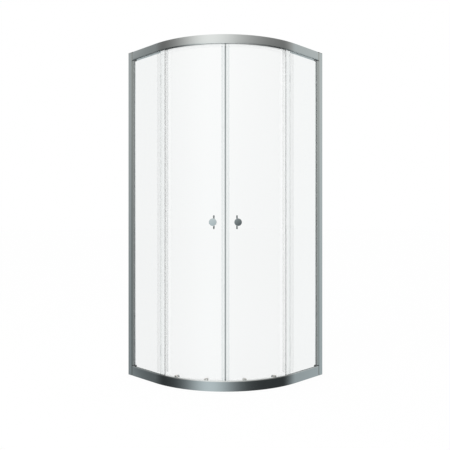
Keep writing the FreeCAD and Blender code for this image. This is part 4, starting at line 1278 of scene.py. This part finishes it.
def add_tent():
    """A far sphere that only mirrored rays meet, with light and dark zones by direction."""
    material, nodes = new_material("tent_cloth")
    x, y, z = nodes.split(nodes.add("ShaderNodeTexCoord", output="Object"))
    # Degrees to the right of the camera's side, and degrees above the horizon
    ahead = (x - y) * math.sqrt(0.5)
    right = (x + y) * math.sqrt(0.5)
    to_side = right.maths("ARCTAN2", ahead) * (180 / math.pi)
    level = (x * x + y * y).maths("SQRT")
    up = z.maths("ARCTAN2", level) * (180 / math.pi)
    down = up * -1.0
    to_left = to_side * -1.0
    away = to_side.maths("ABSOLUTE")
    # The upper zones, which come in lower at the sides, and a glow for the rails' bevels
    at_side = away.rise(85.0, 95.0)
    edge_glow = down.rise(24.0, 33.0)
    high = at_side.blend(up.rise(-4.0, 20.0), up.rise(-18.0, 18.0)) + edge_glow
    # A soft bright zone left of the camera, wider on its right
    offset = to_side + 19.0
    width = (offset > 0.0).blend(high.blend(26.5, 35.5), high.blend(28.5, 47.0))
    front = high.blend(0.57, 0.79) * offset.bell(width)
    # Light zones at both sides, over a dark base
    right_side = high.blend(0.45, 0.42) * to_side.rise(74.0, 106.0)
    left_side = high.blend(0.12, 0.20) * to_left.rise(80.0, 108.0)
    left_end = 0.20 * to_left.rise(96.5, 101.5)
    base = high.blend(0.04, 0.14 + to_side.rise(10.0, 45.0) * 0.05)
    tone = base + front + right_side + left_side + left_end + edge_glow * 0.10
    # Behind the screen, overhead and underfoot
    behind = away.rise(106.0, 128.0)
    tone = behind.blend(tone, up.rise(-6.0, 14.0).blend(0.46, 0.92))
    tone = up.rise(34.0, 55.0).blend(tone, 0.92)
    tone = down.rise(40.0, 60.0).blend(tone, 0.45)
    # The light is neutral in front and above, and cooler at the sides and below
    channels = {
        "Red": tone * high.blend(0.87, 0.98 - at_side * 0.055),
        "Green": tone,
        "Blue": tone * high.blend(1.035, 0.978 + at_side * 0.022),
    }
    light = nodes.add("ShaderNodeCombineColor", channels)
    glow = nodes.add("ShaderNodeEmission", {"Color": light, "Strength": 1.0})
    clear = nodes.add("ShaderNodeBsdfTransparent")
    through = nodes.add("ShaderNodeLightPath", output="Is Transmission Ray")
    mixed = nodes.add("ShaderNodeMixShader", {0: through, 1: glow, 2: clear})
    nodes.add("ShaderNodeOutputMaterial", {"Surface": mixed})
    material.cycles.emission_sampling = "NONE"
    tent = new_object("tent")
    with reshaping(tent) as work:
        bmesh.ops.create_uvsphere(work, u_segments=48, v_segments=24, radius=50.0)
    tent.data.materials.append(material)
    for rays in ("camera", "diffuse", "transmission", "shadow", "volume_scatter"):
        setattr(tent, "visible_" + rays, False)


class SCREEN_OT_stage(bpy.types.Operator):
    """Camera, light, floor and the tent that the bright metal mirrors"""

    bl_idname = "screen.stage"
    bl_label = "Stage"

    def execute(self, context):
        studio = settings("screen_studio")
        add_camera(context, studio)
        add_world(context, studio)
        add_key_light(context, studio)
        add_floor(studio)
        add_tent()
        context.scene.view_settings.view_transform = "Standard"
        return {"FINISHED"}


class SCREEN_PT_panel(bpy.types.Panel):
    """Buttons and settings of the shower screen"""

    bl_idname = "SCREEN_PT_panel"
    bl_label = "Shower Screen"
    bl_space_type = "VIEW_3D"
    bl_region_type = "UI"
    bl_category = "Shower Screen"

    def draw(self, context):
        for button in OPERATORS:
            self.layout.operator(button.bl_idname)
        for name, group in GROUPS.items():
            box = self.layout.box()
            for key in group.__annotations__:
                box.prop(getattr(context.scene, name), key)


OPERATORS = (
    SCREEN_OT_rails,
    SCREEN_OT_wall_sides,
    SCREEN_OT_fixed_panels,
    SCREEN_OT_doors,
    SCREEN_OT_rollers,
    SCREEN_OT_handles,
    SCREEN_OT_stage,
)
GROUPS = {
    "screen_frame": FrameSettings,
    "screen_glass": GlassSettings,
    "screen_fittings": FittingSettings,
    "screen_studio": StudioSettings,
}
CLASSES = tuple(GROUPS.values()) + OPERATORS + (SCREEN_PT_panel,)


def register():
    for kind in CLASSES:
        bpy.utils.register_class(kind)
    for name, group in GROUPS.items():
        setattr(bpy.types.Scene, name, PointerProperty(type=group))


def unregister():
    for name in GROUPS:
        delattr(bpy.types.Scene, name)
    for kind in reversed(CLASSES):
        bpy.utils.unregister_class(kind)


def main():
    register()
    bpy.ops.screen.rails()
    bpy.ops.screen.wall_sides()
    bpy.ops.screen.fixed_panels()
    bpy.ops.screen.doors()
    bpy.ops.screen.rollers()
    bpy.ops.screen.handles()
    bpy.ops.screen.stage()


if __name__ == "__main__":
    main()
